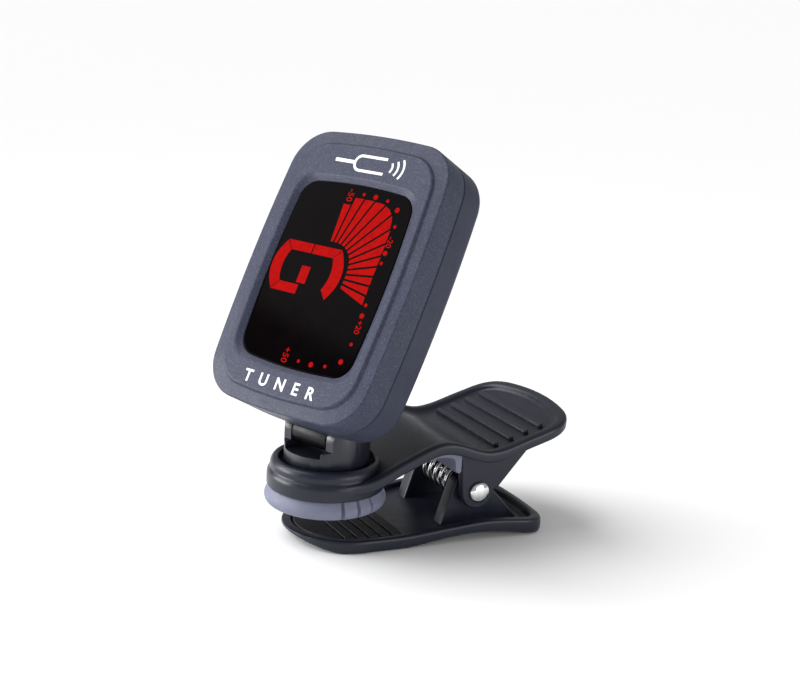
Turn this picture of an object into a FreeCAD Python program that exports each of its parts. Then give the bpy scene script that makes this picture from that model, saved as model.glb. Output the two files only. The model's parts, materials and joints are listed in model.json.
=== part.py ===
import FreeCAD, Part
import math
import os

# Clip-on tuner: a spring clip, a swivelling turret and a tilting display head.
# Millimetres. Origin: where the swivel axis meets the plane the clip rests on.
# +X to the side of the clip, -Y to the front (jaws), +Y to the finger levers, +Z up.

V = FreeCAD.Vector
CENTRE = V(0, 0, 0)
X_AXIS = V(1, 0, 0)
Y_AXIS = V(0, 1, 0)
Z_AXIS = V(0, 0, 1)

# ---- joints ------------------------------------------------------------------
PIVOT_Y, PIVOT_Z = 28.0, 9.6          # clip pivot axis, along X
TILT_FORWARD, TILT_Z = 2.9, 21.5      # tilt axis: in front of the swivel axis, height
REST_LEAN, REST_YAW = 28.9, 22.6      # head leans back and is turned, degrees

# ---- lower jaw: side curves as (y, z), plan sizes as half widths ---------------
SOLE = [
    (-9.0, 2.4), (-5.0, 0.9), (-1.0, -0.1), (6.0, -0.3), (12.0, 0.0), (20.0, 1.1), (27.0, 1.7),
    (34.0, 1.1), (41.0, 0.0), (47.0, -0.4)]
BRIM = [(-9.0, 2.75), (-3.0, 2.7), (12.0, 2.7), (22.0, 3.6), (30.0, 4.1), (38.0, 3.5), (47.0, 2.8)]
NOSE_HALF_WIDTH, NOSE_Y, NOSE_FRONT_Y = 12.2, 4.4, -8.0
FLARE_HALF_WIDTH, FLARE_Y = 14.3, 27.0
TAIL_HALF_WIDTH, TAIL_Y, TAIL_REAR_Y, TAIL_CORNER = 15.6, 42.6, 44.0, 4.5
TRAY_WALL, TRAY_FLOOR = 1.7, 1.3
LOWER_EAR_IN, LOWER_EAR_OUT, LOWER_BOSS_OUT, LOWER_EAR_RADIUS = 6.2, 9.3, 9.9, 3.2
LOWER_PAD_TOP, LOWER_PAD_INSET, LOWER_PAD_REAR = 2.7, 2.2, 12.0
LOWER_EAR = [(21.2, 0.0), (24.4, 11.7), (26.2, 12.3), (30.2, 12.0), (31.9, 9.9), (39.4, 1.5)]
PAD_RIB_PITCH, PAD_RIB_GAP, PAD_RIB_DEPTH, PAD_RIB_COUNT = 2.4, 0.6, 0.5, 2

# ---- upper jaw -----------------------------------------------------------------
LEVER = [(-2.0, 14.1), (4.0, 14.7), (11.0, 18.3), (18.3, 21.4), (28.5, 19.2), (38.0, 21.4), (52.0, 25.7)]
LEVER_THICKNESS = 2.4
LEVER_HALF_WIDTH, LEVER_WIDE_Y = 15.9, 27.0
LEVER_CORNER_HALF, LEVER_CORNER_Y, LEVER_REAR_Y, LEVER_CORNER = 15.9, 46.4, 49.4, 5.0
LEVER_NOSE_Y = 1.0
DISH_DEPTH, DISH_MARGIN = 0.9, 2.0
GRIP_RIBS, GRIP_RIB_FIRST_Y, GRIP_RIB_PITCH = 4, 31.5, 3.4
GRIP_RIB_WIDTH, GRIP_RIB_HALF, GRIP_RIB_TOP, GRIP_RIB_ROOT = 1.1, 11.5, 0.1, 0.2
DISC_RADIUS, DISC_BOTTOM, DISC_FLOOR, DISC_TOP = 11.6, 10.8, 12.0, 14.3
DISC_SKIRT, RIM_BEVEL = 10.6, 0.7
COLLAR_INNER, COLLAR_STEP, COLLAR_CROWN, COLLAR_TOP = 9.4, 11.0, 10.3, 16.5
COLLAR_SLOPE, COLLAR_CHAMFER = 0.9, 0.4
UPPER_EAR_IN, UPPER_EAR_OUT, UPPER_EAR_RADIUS = 10.2, 12.0, 3.6
UPPER_EAR = [(23.4, 21.0), (24.4, PIVOT_Z), (31.6, PIVOT_Z), (32.6, 10.0), (42.9, 21.3)]

# ---- upper pad and lever liner ---------------------------------------------------
PAD_BOTTOM, PAD_FOOT, PAD_BULGE, PAD_NECK, PAD_TOP = 6.9, 10.2, 12.1, 11.0, 10.75
PAD_POCKET, PAD_POCKET_FLOOR, PAD_STEM_GAP = 5.2, 9.6, 0.1
PAD_GROOVES, PAD_GROOVE_FIRST, PAD_GROOVE_STEP = 5, -8.0, 16.5
PAD_GROOVE_WIDTH, PAD_GROOVE_RADIUS, PAD_GROOVE_END = 0.5, 11.3, 0.3
LINER_THICKNESS, LINER_FRONT, LINER_REAR, LINER_MARGIN = 1.3, 9.0, 23.0, 2.2
LINER_LIP_DROP, LINER_LIP_THICKNESS = 4.0, 1.2

# ---- clip pivot and spring -------------------------------------------------------
PIN_RADIUS, PIN_CLEARANCE, PIN_HEAD_RADIUS, PIN_HEAD_HEIGHT = 1.3, 0.05, 2.15, 1.0
PIN_STANDOFF, PIN_TAIL = 0.1, 0.5
RETAINER_RADIUS, RETAINER_THICKNESS = 2.6, 0.6
COIL_RADIUS, WIRE_RADIUS, COIL_TURNS, COIL_PITCH = 3.2, 0.45, 4.5, 2.2
LEG_REACH, UPPER_LEG_RISE, LOWER_LEG_DROP = 9.0, 4.6, 3.3

# ---- turret ----------------------------------------------------------------------
TURRET_RADIUS, TURRET_BASE = 8.4, 14.6
TURRET_EAR_ROUND, SLOT_HALF, SLOT_FLOOR = 2.6, 4.6, 18.4
SHELF_Z, SHELF_FRONT_Z, SHELF_Y = 19.8, 18.7, -5.5
TURRET_REAR_TOP, TURRET_REAR_CUT, TURRET_MARGIN = 22.4, 2.0, 1.0
SPIGOT_RADIUS, SPIGOT_BOTTOM, SPIGOT_CLEARANCE = 3.6, 11.95, 0.08
SWIVEL_SCREW_RADIUS, SWIVEL_SCREW_TOP = 1.2, 17.4
SWIVEL_HEAD_RADIUS, SWIVEL_HEAD_HEIGHT = 3.3, 1.3
SPRING_WASHER_RADIUS, SPRING_WASHER_THICKNESS = 4.6, 0.4
SWIVEL_WASHER_OUTER, SWIVEL_WASHER_INNER = 8.0, 4.6
TILT_PIN_RADIUS, TILT_PIN_MOUTH, TILT_PIN_END = 1.0, -7.6, 6.4
KNUCKLE_HALF, KNUCKLE_RADIUS, KNUCKLE_HEIGHT = 4.2, 2.6, 5.0
TILT_WASHER_RADIUS = 2.4

# ---- head, upright in its own frame: n is the distance forward of the tilt axis --
HEAD_HALF, HEAD_HEIGHT, HEAD_BULGE, HEAD_CORNER = 20.1, 56.4, 0.9, 7.0
REAR_N, REAR_BEVEL_N, PARTING_N, BEVEL_N, BORDER_N, FACE_N = 1.0, 2.8, 9.05, 14.7, 15.0, 15.5
REAR_BEVEL, BORDER_BEVEL, FACE_BEVEL, PARTING_GROOVE = 2.2, 2.5, 2.9, 0.25
SCOOP_RADIUS, SCOOP_HALF = 3.2, 8.8
WALL, REAR_WALL_N, FRONT_WALL_N = 1.6, 4.3, 14.0
WINDOW_HALF, WINDOW_LOW, WINDOW_HIGH = 14.6, 8.7, 46.1
WINDOW_BULGE, WINDOW_CORNER, WINDOW_BEVEL = 0.9, 4.0, 1.2
LENS_FRONT_N, LENS_BACK_N, LENS_GAP = 14.7, 13.3, 0.05
LCD_BACK_N, BOARD_FRONT_N, BOARD_BACK_N = 12.3, 10.1, 8.9
LCD_HALF, LCD_LOW, LCD_HIGH, LCD_GLASS_LOW = 13.6, 10.4, 45.2, 8.0
BOARD_HALF, BOARD_LOW, BOARD_HIGH = 16.8, 8.4, 46.8
ZEBRA_HALF, ZEBRA_GAP = 12.6, 0.4
CHIP_HALF, CHIP_LOW, CHIP_HIGH, CHIP_THICKNESS = 3.5, 14.0, 21.0, 1.2
TILT_SWITCH_X0, TILT_SWITCH_X1, TILT_SWITCH_LOW, TILT_SWITCH_HIGH = -11.5, -7.0, 10.0, 16.0
TILT_SWITCH_DEPTH = 3.0
POST_U, POST_LOW, POST_HIGH, POST_RADIUS = 16.4, 13.0, 43.0, 1.0
CELL_RADIUS, CELL_REAR_N, CELL_FRONT_N, CELL_Z = 10.0, 4.7, 7.9, 35.5
FINGER_HALF, FINGER_REACH, FINGER_THICKNESS, FINGER_FOOT = 3.0, 6.0, 0.25, 0.4
CLIP_HALF, CLIP_THICKNESS, CLIP_GAP = 4.0, 0.4, 0.02
SCREW_U, SCREW_LOW, SCREW_HIGH = 15.3, 5.8, 50.2
BOSS_RADIUS, SCREW_RADIUS, SCREW_HEAD_RADIUS, SCREW_HEAD_HEIGHT = 2.3, 0.95, 1.8, 1.2
SCREW_TIP_N, SCREW_SEAT_N, SCREW_GAP = 12.5, 4.3, 0.05
CROSS_ARM, CROSS_WIDTH, CROSS_DEPTH = 1.2, 0.5, 0.5
DOOR_HALF, DOOR_LOW, DOOR_TONGUE, DOOR_LIP_N, DOOR_GAP = 10.6, 18.0, 1.2, 3.5, 0.1
DOOR_GRIPS, DOOR_GRIP_FIRST, DOOR_GRIP_PITCH = 5, 42.0, 1.8
DOOR_GRIP_MARGIN, DOOR_GRIP_WIDTH, DOOR_GRIP_DEPTH = 3.0, 0.7, 0.35
PIEZO_RADIUS, PIEZO_Z, PIEZO_THICKNESS = 5.5, 12.5, 0.5

REACH = 60.0                          # longer than any piece, for cutting tools
EDGE_MATCH = 0.01                     # how close an edge must be to a wanted place
FLANK_ROUND = 20.0                    # softens the bend in each side of the lever


# ---- shape helpers ---------------------------------------------------------------
def box(x0, x1, y0, y1, z0, z1):
    return Part.makeBox(x1 - x0, y1 - y0, z1 - z0, V(x0, y0, z0))


def rod(radius, start, end):
    span = end - start
    return Part.makeCylinder(radius, span.Length, start, span)


def upright_rod(radius, z0, z1):
    return rod(radius, V(0, 0, z0), V(0, 0, z1))


def ring(outer, inner, z0, z1):
    return upright_rod(outer, z0, z1).cut(upright_rod(inner, z0, z1))


def arc(start, middle, end):
    return Part.Arc(start, middle, end).toShape()


def closed_face(edges):
    return Part.Face(Part.Wire(Part.__sortEdges__(edges)))


def side_plate(outline, x0, x1):
    """A plate whose outline is given as (y, z) pairs, between two X planes."""
    points = [V(x0, y, z) for y, z in outline]
    return Part.Face(Part.makePolygon(points + points[:1])).extrude(V(x1 - x0, 0, 0))


def turned(profile):
    """A body turned about the Z axis from (radius, z) pairs."""
    points = [V(r, 0, z) for r, z in profile]
    return Part.Face(Part.makePolygon(points + points[:1])).revolve(CENTRE, Z_AXIS, 360)


def with_mirror(shape):
    """The shape and its mirror image across the plane X = 0."""
    return [shape, shape.mirror(CENTRE, X_AXIS)]


def fuse_all(shapes):
    return shapes[0].fuse(shapes[1:]).removeSplitter()


def side_curve(points, offset):
    curve = Part.BSplineCurve()
    curve.interpolate([V(-REACH, y, z + offset) for y, z in points])
    return curve.toShape()


def band(top, top_offset, bottom, bottom_offset):
    """The space between two (y, z) curves, each moved up or down, right across X."""
    upper = side_curve(top, top_offset)
    lower = side_curve(bottom, bottom_offset)
    ends = [
        Part.makeLine(upper.Vertexes[k].Point, lower.Vertexes[k].Point)
        for k in (0, -1)]
    return closed_face([upper, lower] + ends).extrude(V(2 * REACH, 0, 0))


def is_upright(edge):
    ends = [vertex.Point for vertex in edge.Vertexes]
    return len(ends) == 2 and math.hypot(ends[0].x - ends[1].x, ends[0].y - ends[1].y) < EDGE_MATCH


def upright_edges_at(prism, y):
    return [e for e in prism.Edges if is_upright(e) and abs(e.Vertexes[0].Point.y - y) < EDGE_MATCH]


def paddle(nose, widest, tail, corner):
    """A tall prism with a round nose, widening sides and a bowed tail.

    nose is (half width, y, front y), widest is (half width, y), tail is
    (half width, y, rear y) and corner is the radius of the rear corners.
    """
    nose_x, nose_y, front_y = nose
    tail_x, tail_y, rear_y = tail
    edges = [
        arc(V(-nose_x, nose_y, -REACH), V(0, front_y, -REACH), V(nose_x, nose_y, -REACH)),
        arc(V(tail_x, tail_y, -REACH), V(0, rear_y, -REACH), V(-tail_x, tail_y, -REACH))]
    for side in (1, -1):
        bend = V(side * widest[0], widest[1], -REACH)
        edges.append(Part.makeLine(V(side * nose_x, nose_y, -REACH), bend))
        edges.append(Part.makeLine(bend, V(side * tail_x, tail_y, -REACH)))
    prism = closed_face(edges).extrude(V(0, 0, 2 * REACH))
    return prism.makeFillet(corner, upright_edges_at(prism, tail_y))


# ---- lower jaw -------------------------------------------------------------------
def pivot_rod(radius, x0, x1):
    return rod(radius, V(x0, PIVOT_Y, PIVOT_Z), V(x1, PIVOT_Y, PIVOT_Z))


def lower_planform(inset):
    return paddle(
        (NOSE_HALF_WIDTH - inset, NOSE_Y, NOSE_FRONT_Y + inset),
        (FLARE_HALF_WIDTH - inset, FLARE_Y),
        (TAIL_HALF_WIDTH - inset, TAIL_Y - inset, TAIL_REAR_Y - inset),
        TAIL_CORNER - inset / 2)


def above_rest_plane():
    return box(-REACH, REACH, -REACH, REACH, 0, REACH)


def make_lower_jaw():
    """A shallow tray with two ears that carry the pivot pin."""
    tray = band(BRIM, 0, SOLE, 0).common(lower_planform(0)).common(above_rest_plane())
    tray = tray.cut(band(BRIM, REACH, SOLE, TRAY_FLOOR).common(lower_planform(TRAY_WALL)))
    ear = side_plate(LOWER_EAR, LOWER_EAR_IN, LOWER_EAR_OUT)
    ear = ear.fuse(pivot_rod(LOWER_EAR_RADIUS, LOWER_EAR_IN, LOWER_BOSS_OUT))
    ear = ear.cut(band(SOLE, TRAY_FLOOR / 2, SOLE, -REACH))
    jaw = fuse_all([tray] + with_mirror(ear))
    return jaw.cut(pivot_rod(PIN_RADIUS, -REACH, REACH))


def make_lower_jaw_pad():
    """A ribbed rubber pad that fills the front of the tray."""
    slab = box(-REACH, REACH, -REACH, LOWER_PAD_REAR, 0, LOWER_PAD_TOP)
    slab = slab.common(band(BRIM, REACH, SOLE, TRAY_FLOOR)).common(lower_planform(LOWER_PAD_INSET))
    for k in range(PAD_RIB_COUNT):
        y = LOWER_PAD_REAR - (k + 1) * PAD_RIB_PITCH
        slab = slab.cut(box(-REACH, REACH, y, y + PAD_RIB_GAP, LOWER_PAD_TOP - PAD_RIB_DEPTH, REACH))
    return slab


# ---- clip pivot and spring ---------------------------------------------------------
def make_pivot_pin():
    """A rivet pin with a domed head on the +X side."""
    seat = UPPER_EAR_OUT + PIN_STANDOFF
    shaft = pivot_rod(PIN_RADIUS, -seat - RETAINER_THICKNESS - PIN_TAIL, seat)
    dome_radius = (PIN_HEAD_RADIUS ** 2 + PIN_HEAD_HEIGHT ** 2) / (2 * PIN_HEAD_HEIGHT)
    dome = Part.makeSphere(dome_radius, V(seat + PIN_HEAD_HEIGHT - dome_radius, PIVOT_Y, PIVOT_Z))
    dome = dome.common(pivot_rod(PIN_HEAD_RADIUS, seat, seat + 2 * PIN_HEAD_HEIGHT))
    return fuse_all([shaft, dome])


def make_pivot_retainer():
    seat = UPPER_EAR_OUT + PIN_STANDOFF
    washer = pivot_rod(RETAINER_RADIUS, -seat - RETAINER_THICKNESS, -seat)
    return washer.cut(pivot_rod(PIN_RADIUS, -REACH, REACH))


def make_torsion_spring():
    """A coil round the pivot pin, with a leg that presses on each finger lever."""
    length = COIL_TURNS * COIL_PITCH
    helix = Part.makeHelix(COIL_PITCH, length, COIL_RADIUS)
    tangent = V(0, COIL_RADIUS, COIL_PITCH / (2 * math.pi))
    section = Part.Wire(Part.makeCircle(WIRE_RADIUS, V(COIL_RADIUS, 0, 0), tangent))
    coil = Part.Wire(helix.Edges).makePipeShell([section], True, True)
    upper_end = V(-COIL_RADIUS, 0, length)
    lower_end = V(COIL_RADIUS, 0, 0)
    legs = [(upper_end, V(-UPPER_LEG_RISE, -LEG_REACH, 0)), (lower_end, V(LOWER_LEG_DROP, -LEG_REACH, 0))]
    pieces = []
    for end, travel in legs:
        pieces.append(rod(WIRE_RADIUS, end, end + travel))
        pieces.append(Part.makeSphere(WIRE_RADIUS, end))
    spring = coil.fuse(pieces)
    spring.translate(V(0, 0, -length / 2))
    spring.rotate(CENTRE, Y_AXIS, 90)
    spring = spring.mirror(CENTRE, Y_AXIS)
    spring.translate(V(0, PIVOT_Y, PIVOT_Z))
    return spring


# ---- upper jaw -----------------------------------------------------------------------
def lever_planform(inset):
    prism = paddle(
        (DISC_RADIUS - inset, LEVER_NOSE_Y, LEVER_NOSE_Y - DISC_RADIUS + inset),
        (LEVER_HALF_WIDTH - inset, LEVER_WIDE_Y),
        (LEVER_CORNER_HALF - inset, LEVER_CORNER_Y - inset, LEVER_REAR_Y - inset),
        LEVER_CORNER - inset)
    return prism.makeFillet(FLANK_ROUND, upright_edges_at(prism, LEVER_WIDE_Y))


def make_upper_jaw():
    """Front disc with a collar, a dished finger lever with grip ribs, and two ears."""
    disc = turned([
        (0, DISC_FLOOR), (DISC_SKIRT, DISC_FLOOR), (DISC_SKIRT, DISC_BOTTOM), (DISC_RADIUS, DISC_BOTTOM),
        (DISC_RADIUS, DISC_TOP - RIM_BEVEL), (COLLAR_STEP, DISC_TOP), (COLLAR_STEP, COLLAR_TOP - COLLAR_SLOPE),
        (COLLAR_CROWN, COLLAR_TOP), (COLLAR_INNER + COLLAR_CHAMFER, COLLAR_TOP),
        (COLLAR_INNER, COLLAR_TOP - COLLAR_CHAMFER), (COLLAR_INNER, DISC_TOP), (0, DISC_TOP)])
    planform = lever_planform(0)
    plate = band(LEVER, 0, LEVER, -LEVER_THICKNESS).common(planform)
    dish = band(LEVER, REACH, LEVER, -DISH_DEPTH).common(lever_planform(DISH_MARGIN))
    plate = plate.cut(dish.cut(upright_rod(DISC_RADIUS + DISH_MARGIN, 0, REACH)))
    ear = side_plate(UPPER_EAR, UPPER_EAR_IN, UPPER_EAR_OUT)
    ear = ear.fuse(pivot_rod(UPPER_EAR_RADIUS, UPPER_EAR_IN, UPPER_EAR_OUT))
    ear = ear.cut(band(LEVER, REACH, LEVER, -LEVER_THICKNESS / 2))
    jaw = fuse_all([disc, plate] + with_mirror(ear))
    jaw = jaw.cut(upright_rod(COLLAR_INNER, DISC_TOP, REACH))
    jaw = jaw.cut(upright_rod(DISC_SKIRT, 0, DISC_FLOOR))
    jaw = jaw.cut(upright_rod(SPIGOT_RADIUS + SPIGOT_CLEARANCE, 0, REACH))
    jaw = jaw.cut(pivot_rod(PIN_RADIUS + PIN_CLEARANCE, -REACH, REACH))
    return fuse_all([jaw] + grip_ribs())


def grip_ribs():
    """Bars across the rear of the lever, following its curve."""
    raised = band(LEVER, -GRIP_RIB_TOP, LEVER, -DISH_DEPTH - GRIP_RIB_ROOT)
    ribs = []
    for k in range(GRIP_RIBS):
        y = GRIP_RIB_FIRST_Y + k * GRIP_RIB_PITCH
        bar = box(-GRIP_RIB_HALF, GRIP_RIB_HALF, y, y + GRIP_RIB_WIDTH, 0, REACH)
        ribs.append(raised.common(bar))
    return ribs


def make_upper_jaw_pad():
    """A rubber bumper under the front disc, with grooves down both sides."""
    edges = [
        Part.makeLine(V(0, 0, PAD_BOTTOM), V(PAD_FOOT, 0, PAD_BOTTOM)),
        arc(V(PAD_FOOT, 0, PAD_BOTTOM), V(PAD_BULGE, 0, 0.5 * (PAD_BOTTOM + PAD_TOP)), V(PAD_NECK, 0, PAD_TOP))]
    stem_radius = DISC_SKIRT - PAD_STEM_GAP
    stem = [
        (PAD_NECK, PAD_TOP), (stem_radius, PAD_TOP), (stem_radius, DISC_FLOOR), (PAD_POCKET, DISC_FLOOR),
        (PAD_POCKET, PAD_POCKET_FLOOR), (0, PAD_POCKET_FLOOR), (0, PAD_BOTTOM)]
    for (r0, z0), (r1, z1) in zip(stem, stem[1:]):
        edges.append(Part.makeLine(V(r0, 0, z0), V(r1, 0, z1)))
    pad = closed_face(edges).revolve(CENTRE, Z_AXIS, 360)
    half = PAD_GROOVE_WIDTH / 2
    groove = box(PAD_GROOVE_RADIUS, REACH, -half, half, 0, PAD_TOP - PAD_GROOVE_END)
    for k in range(PAD_GROOVES):
        for angle in (PAD_GROOVE_FIRST + k * PAD_GROOVE_STEP, 180 - PAD_GROOVE_FIRST - k * PAD_GROOVE_STEP):
            cutter = groove.copy()
            cutter.rotate(CENTRE, Z_AXIS, angle)
            pad = pad.cut(cutter)
    return pad


def make_lever_liner():
    """A rubber sheet under the lever that ends in a lip in front of the spring."""
    under = -LEVER_THICKNESS
    sheet = band(LEVER, under, LEVER, under - LINER_THICKNESS)
    sheet = sheet.common(box(-REACH, REACH, LINER_FRONT, LINER_REAR, 0, REACH))
    lip = band(LEVER, under, LEVER, under - LINER_LIP_DROP)
    lip = lip.common(box(-REACH, REACH, LINER_REAR - LINER_LIP_THICKNESS, LINER_REAR, 0, REACH))
    liner = fuse_all([sheet, lip]).common(lever_planform(LINER_MARGIN))
    return liner.cut(upright_rod(DISC_RADIUS, 0, REACH))


# ---- turret ----------------------------------------------------------------------------
def make_swivel_washer():
    return ring(SWIVEL_WASHER_OUTER, SWIVEL_WASHER_INNER, DISC_TOP, TURRET_BASE)


def tilt_rod(radius, x0, x1):
    return rod(radius, V(x0, -TILT_FORWARD, TILT_Z), V(x1, -TILT_FORWARD, TILT_Z))


def make_turret():
    """A round post, slotted for the head's knuckle, on a spigot through the disc."""
    post = upright_rod(TURRET_RADIUS, TURRET_BASE, TURRET_REAR_TOP)
    front = -TURRET_RADIUS - TURRET_MARGIN
    step = [(front, SHELF_FRONT_Z), (SHELF_Y, SHELF_Z), (SHELF_Y, TILT_Z), (-TILT_FORWARD, TILT_Z)]
    step += [(-TILT_FORWARD, REACH), (front, REACH)]
    post = post.cut(side_plate(step, -REACH, REACH))
    post = post.fuse(tilt_rod(TURRET_EAR_ROUND, -REACH, REACH).common(upright_rod(TURRET_RADIUS, 0, REACH)))
    rear = TURRET_RADIUS - TURRET_REAR_CUT
    corner = [(rear, REACH), (rear, TURRET_REAR_TOP), (REACH, TURRET_REAR_TOP - REACH), (REACH, REACH)]
    post = post.cut(side_plate(corner, -REACH, REACH))
    post = post.fuse(upright_rod(SPIGOT_RADIUS, SPIGOT_BOTTOM, TURRET_BASE + TURRET_MARGIN)).removeSplitter()
    post = post.cut(box(-SLOT_HALF, SLOT_HALF, -REACH, REACH, SLOT_FLOOR, REACH))
    post = post.cut(upright_rod(SWIVEL_SCREW_RADIUS, 0, SWIVEL_SCREW_TOP))
    return post.cut(tilt_rod(TILT_PIN_RADIUS, -REACH, TILT_PIN_END))


def make_spring_washer():
    seat = SPIGOT_BOTTOM - SPRING_WASHER_THICKNESS
    return ring(SPRING_WASHER_RADIUS, SWIVEL_SCREW_RADIUS, seat, SPIGOT_BOTTOM)


def make_swivel_screw():
    """The screw that holds the turret down, driven in from under the disc."""
    seat = SPIGOT_BOTTOM - SPRING_WASHER_THICKNESS
    foot = seat - SWIVEL_HEAD_HEIGHT
    screw = fuse_all([
        upright_rod(SWIVEL_HEAD_RADIUS, foot, seat), upright_rod(SWIVEL_SCREW_RADIUS, seat, SWIVEL_SCREW_TOP)])
    arm = SWIVEL_HEAD_RADIUS / 2
    for x, y in ((arm, CROSS_WIDTH), (CROSS_WIDTH, arm)):
        screw = screw.cut(box(-x, x, -y, y, foot, foot + CROSS_DEPTH))
    return screw


def make_tilt_pin():
    """The hinge pin, pushed in from the -X side of the turret into a blind hole."""
    return tilt_rod(TILT_PIN_RADIUS, TILT_PIN_MOUTH, TILT_PIN_END)


def make_tilt_washers():
    """Friction washers between the knuckle and the turret's two ears."""
    washer = tilt_rod(TILT_WASHER_RADIUS, KNUCKLE_HALF + PIN_CLEARANCE, SLOT_HALF)
    washer = washer.cut(tilt_rod(TILT_PIN_RADIUS, 0, REACH))
    return Part.makeCompound(with_mirror(washer))


# ---- head: shells --------------------------------------------------------------------------
def rounded_frame(half, low, high, bulge, corner, n):
    """A four-sided outline with bowed sides and round corners, in the plane at n."""
    inner, bottom, top = half - bulge, low + bulge, high - bulge
    middle = 0.5 * (low + high)
    corners = [V(-inner, -n, bottom), V(inner, -n, bottom), V(inner, -n, top), V(-inner, -n, top)]
    crowns = [V(0, -n, low), V(half, -n, middle), V(0, -n, high), V(-half, -n, middle)]
    sides = [arc(corners[k], crowns[k], corners[(k + 1) % 4]) for k in range(4)]
    prism = closed_face(sides).extrude(V(0, -1, 0))
    along = [e for e in prism.Edges if abs(e.Vertexes[0].Point.y - e.Vertexes[-1].Point.y) > EDGE_MATCH]
    prism = prism.makeFillet(corner, along)
    back = [f for f in prism.Faces if all(abs(v.Point.y + n) < EDGE_MATCH for v in f.Vertexes)]
    return back[0].OuterWire


def head_frame(inset, n):
    return rounded_frame(
        HEAD_HALF - inset, inset, HEAD_HEIGHT - inset, HEAD_BULGE, HEAD_CORNER - inset / 2, n)


def head_stack(sections):
    """A solid through head outlines, each given as (inset, n)."""
    frames = [head_frame(inset, n) for inset, n in sections]
    return Part.makeLoft(frames, True, True)


def window_frame(out, n):
    return rounded_frame(
        WINDOW_HALF + out, WINDOW_LOW - out, WINDOW_HIGH + out, WINDOW_BULGE, WINDOW_CORNER + out, n)


def window_stack(sections):
    """A solid through window outlines, each given as (distance outwards, n)."""
    return Part.makeLoft([window_frame(out, n) for out, n in sections], True, True)


def head_rod(radius, x, z, n0, n1):
    return rod(radius, V(x, -n0, z), V(x, -n1, z))


def head_box(half, z0, z1, n0, n1):
    return box(-half, half, -n1, -n0, z0, z1)


def corner_rods(radius, n0, n1):
    return [head_rod(radius, side * SCREW_U, z, n0, n1) for side in (1, -1) for z in (SCREW_LOW, SCREW_HIGH)]


def rear_outer():
    return head_stack([
        (REAR_BEVEL, REAR_N), (0, REAR_BEVEL_N), (0, PARTING_N - PARTING_GROOVE), (PARTING_GROOVE, PARTING_N)])


def front_outer():
    return head_stack([
        (PARTING_GROOVE, PARTING_N), (0, PARTING_N + PARTING_GROOVE), (0, BEVEL_N),
        (BORDER_BEVEL, BORDER_N), (FACE_BEVEL, FACE_N)])


def make_front_shell():
    """The face plate, its lower border and the side band, with the window and screw bosses."""
    shell = front_outer().cut(head_stack([(WALL, PARTING_N - 1), (WALL, FRONT_WALL_N)]))
    posts = [
        head_rod(POST_RADIUS, side * POST_U, z, BOARD_FRONT_N, FRONT_WALL_N)
        for side in (1, -1) for z in (POST_LOW, POST_HIGH)]
    shell = fuse_all([shell] + posts + corner_rods(BOSS_RADIUS, PARTING_N, FRONT_WALL_N))
    shell = shell.cut(window_stack([
        (0, BOARD_FRONT_N), (0, LENS_FRONT_N), (WINDOW_BEVEL, FACE_N), (WINDOW_BEVEL, REACH)]))
    for hole in corner_rods(SCREW_RADIUS + SCREW_GAP, PARTING_N - 1, SCREW_TIP_N + SCREW_GAP):
        shell = shell.cut(hole)
    return shell


def door_prism(half, z0, n0, n1):
    return head_box(half, z0, REACH, n0, n1)


def make_rear_shell():
    """The back, with a channel for the battery door, a socket for the knuckle and a
    scoop along the lower edge that clears the turret's ears."""
    shell = rear_outer().cut(head_stack([(WALL, REAR_WALL_N), (WALL, PARTING_N + 1)]))
    bosses = [boss.common(rear_outer()) for boss in corner_rods(BOSS_RADIUS, REAR_N, PARTING_N)]
    shell = fuse_all([shell] + bosses)
    shell = shell.cut(door_prism(DOOR_HALF + DOOR_GAP, DOOR_LOW - DOOR_GAP, 0, REAR_WALL_N))
    shell = shell.cut(door_prism(DOOR_HALF + DOOR_TONGUE + DOOR_GAP, DOOR_LOW - DOOR_GAP, DOOR_LIP_N, REAR_WALL_N))
    for hole in corner_rods(SCREW_RADIUS + SCREW_GAP, 0, PARTING_N + 1):
        shell = shell.cut(hole)
    for recess in corner_rods(SCREW_HEAD_RADIUS + SCREW_GAP, 0, SCREW_SEAT_N):
        shell = shell.cut(recess)
    shell = shell.cut(rod(SCOOP_RADIUS, V(-SCOOP_HALF, 0, 0), V(SCOOP_HALF, 0, 0)))
    return shell.cut(head_box(KNUCKLE_HALF, WALL, KNUCKLE_HEIGHT, 0, REAR_WALL_N))


def make_battery_door():
    """A door that slides off over the top of the head, held by a tongue each side."""
    skin = door_prism(DOOR_HALF, DOOR_LOW, 0, REAR_WALL_N - DOOR_GAP)
    tongue = door_prism(DOOR_HALF + DOOR_TONGUE, DOOR_LOW, DOOR_LIP_N + DOOR_GAP, REAR_WALL_N - DOOR_GAP)
    door = fuse_all([skin, tongue]).common(rear_outer())
    for k in range(DOOR_GRIPS):
        z = DOOR_GRIP_FIRST + k * DOOR_GRIP_PITCH
        door = door.cut(head_box(
            DOOR_HALF - DOOR_GRIP_MARGIN, z, z + DOOR_GRIP_WIDTH, 0, REAR_N + DOOR_GRIP_DEPTH))
    return door


def make_knuckle():
    """The hinge barrel, with a stub that plugs into the rear shell."""
    barrel = rod(KNUCKLE_RADIUS, V(-KNUCKLE_HALF, 0, 0), V(KNUCKLE_HALF, 0, 0))
    web = head_box(KNUCKLE_HALF, 0, KNUCKLE_HEIGHT, 0, REAR_BEVEL_N).cut(rear_outer())
    stub = head_box(KNUCKLE_HALF, WALL, KNUCKLE_HEIGHT, 0, REAR_WALL_N)
    knuckle = fuse_all([barrel, web, stub])
    return knuckle.cut(rod(TILT_PIN_RADIUS + PIN_CLEARANCE, V(-REACH, 0, 0), V(REACH, 0, 0)))


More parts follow.
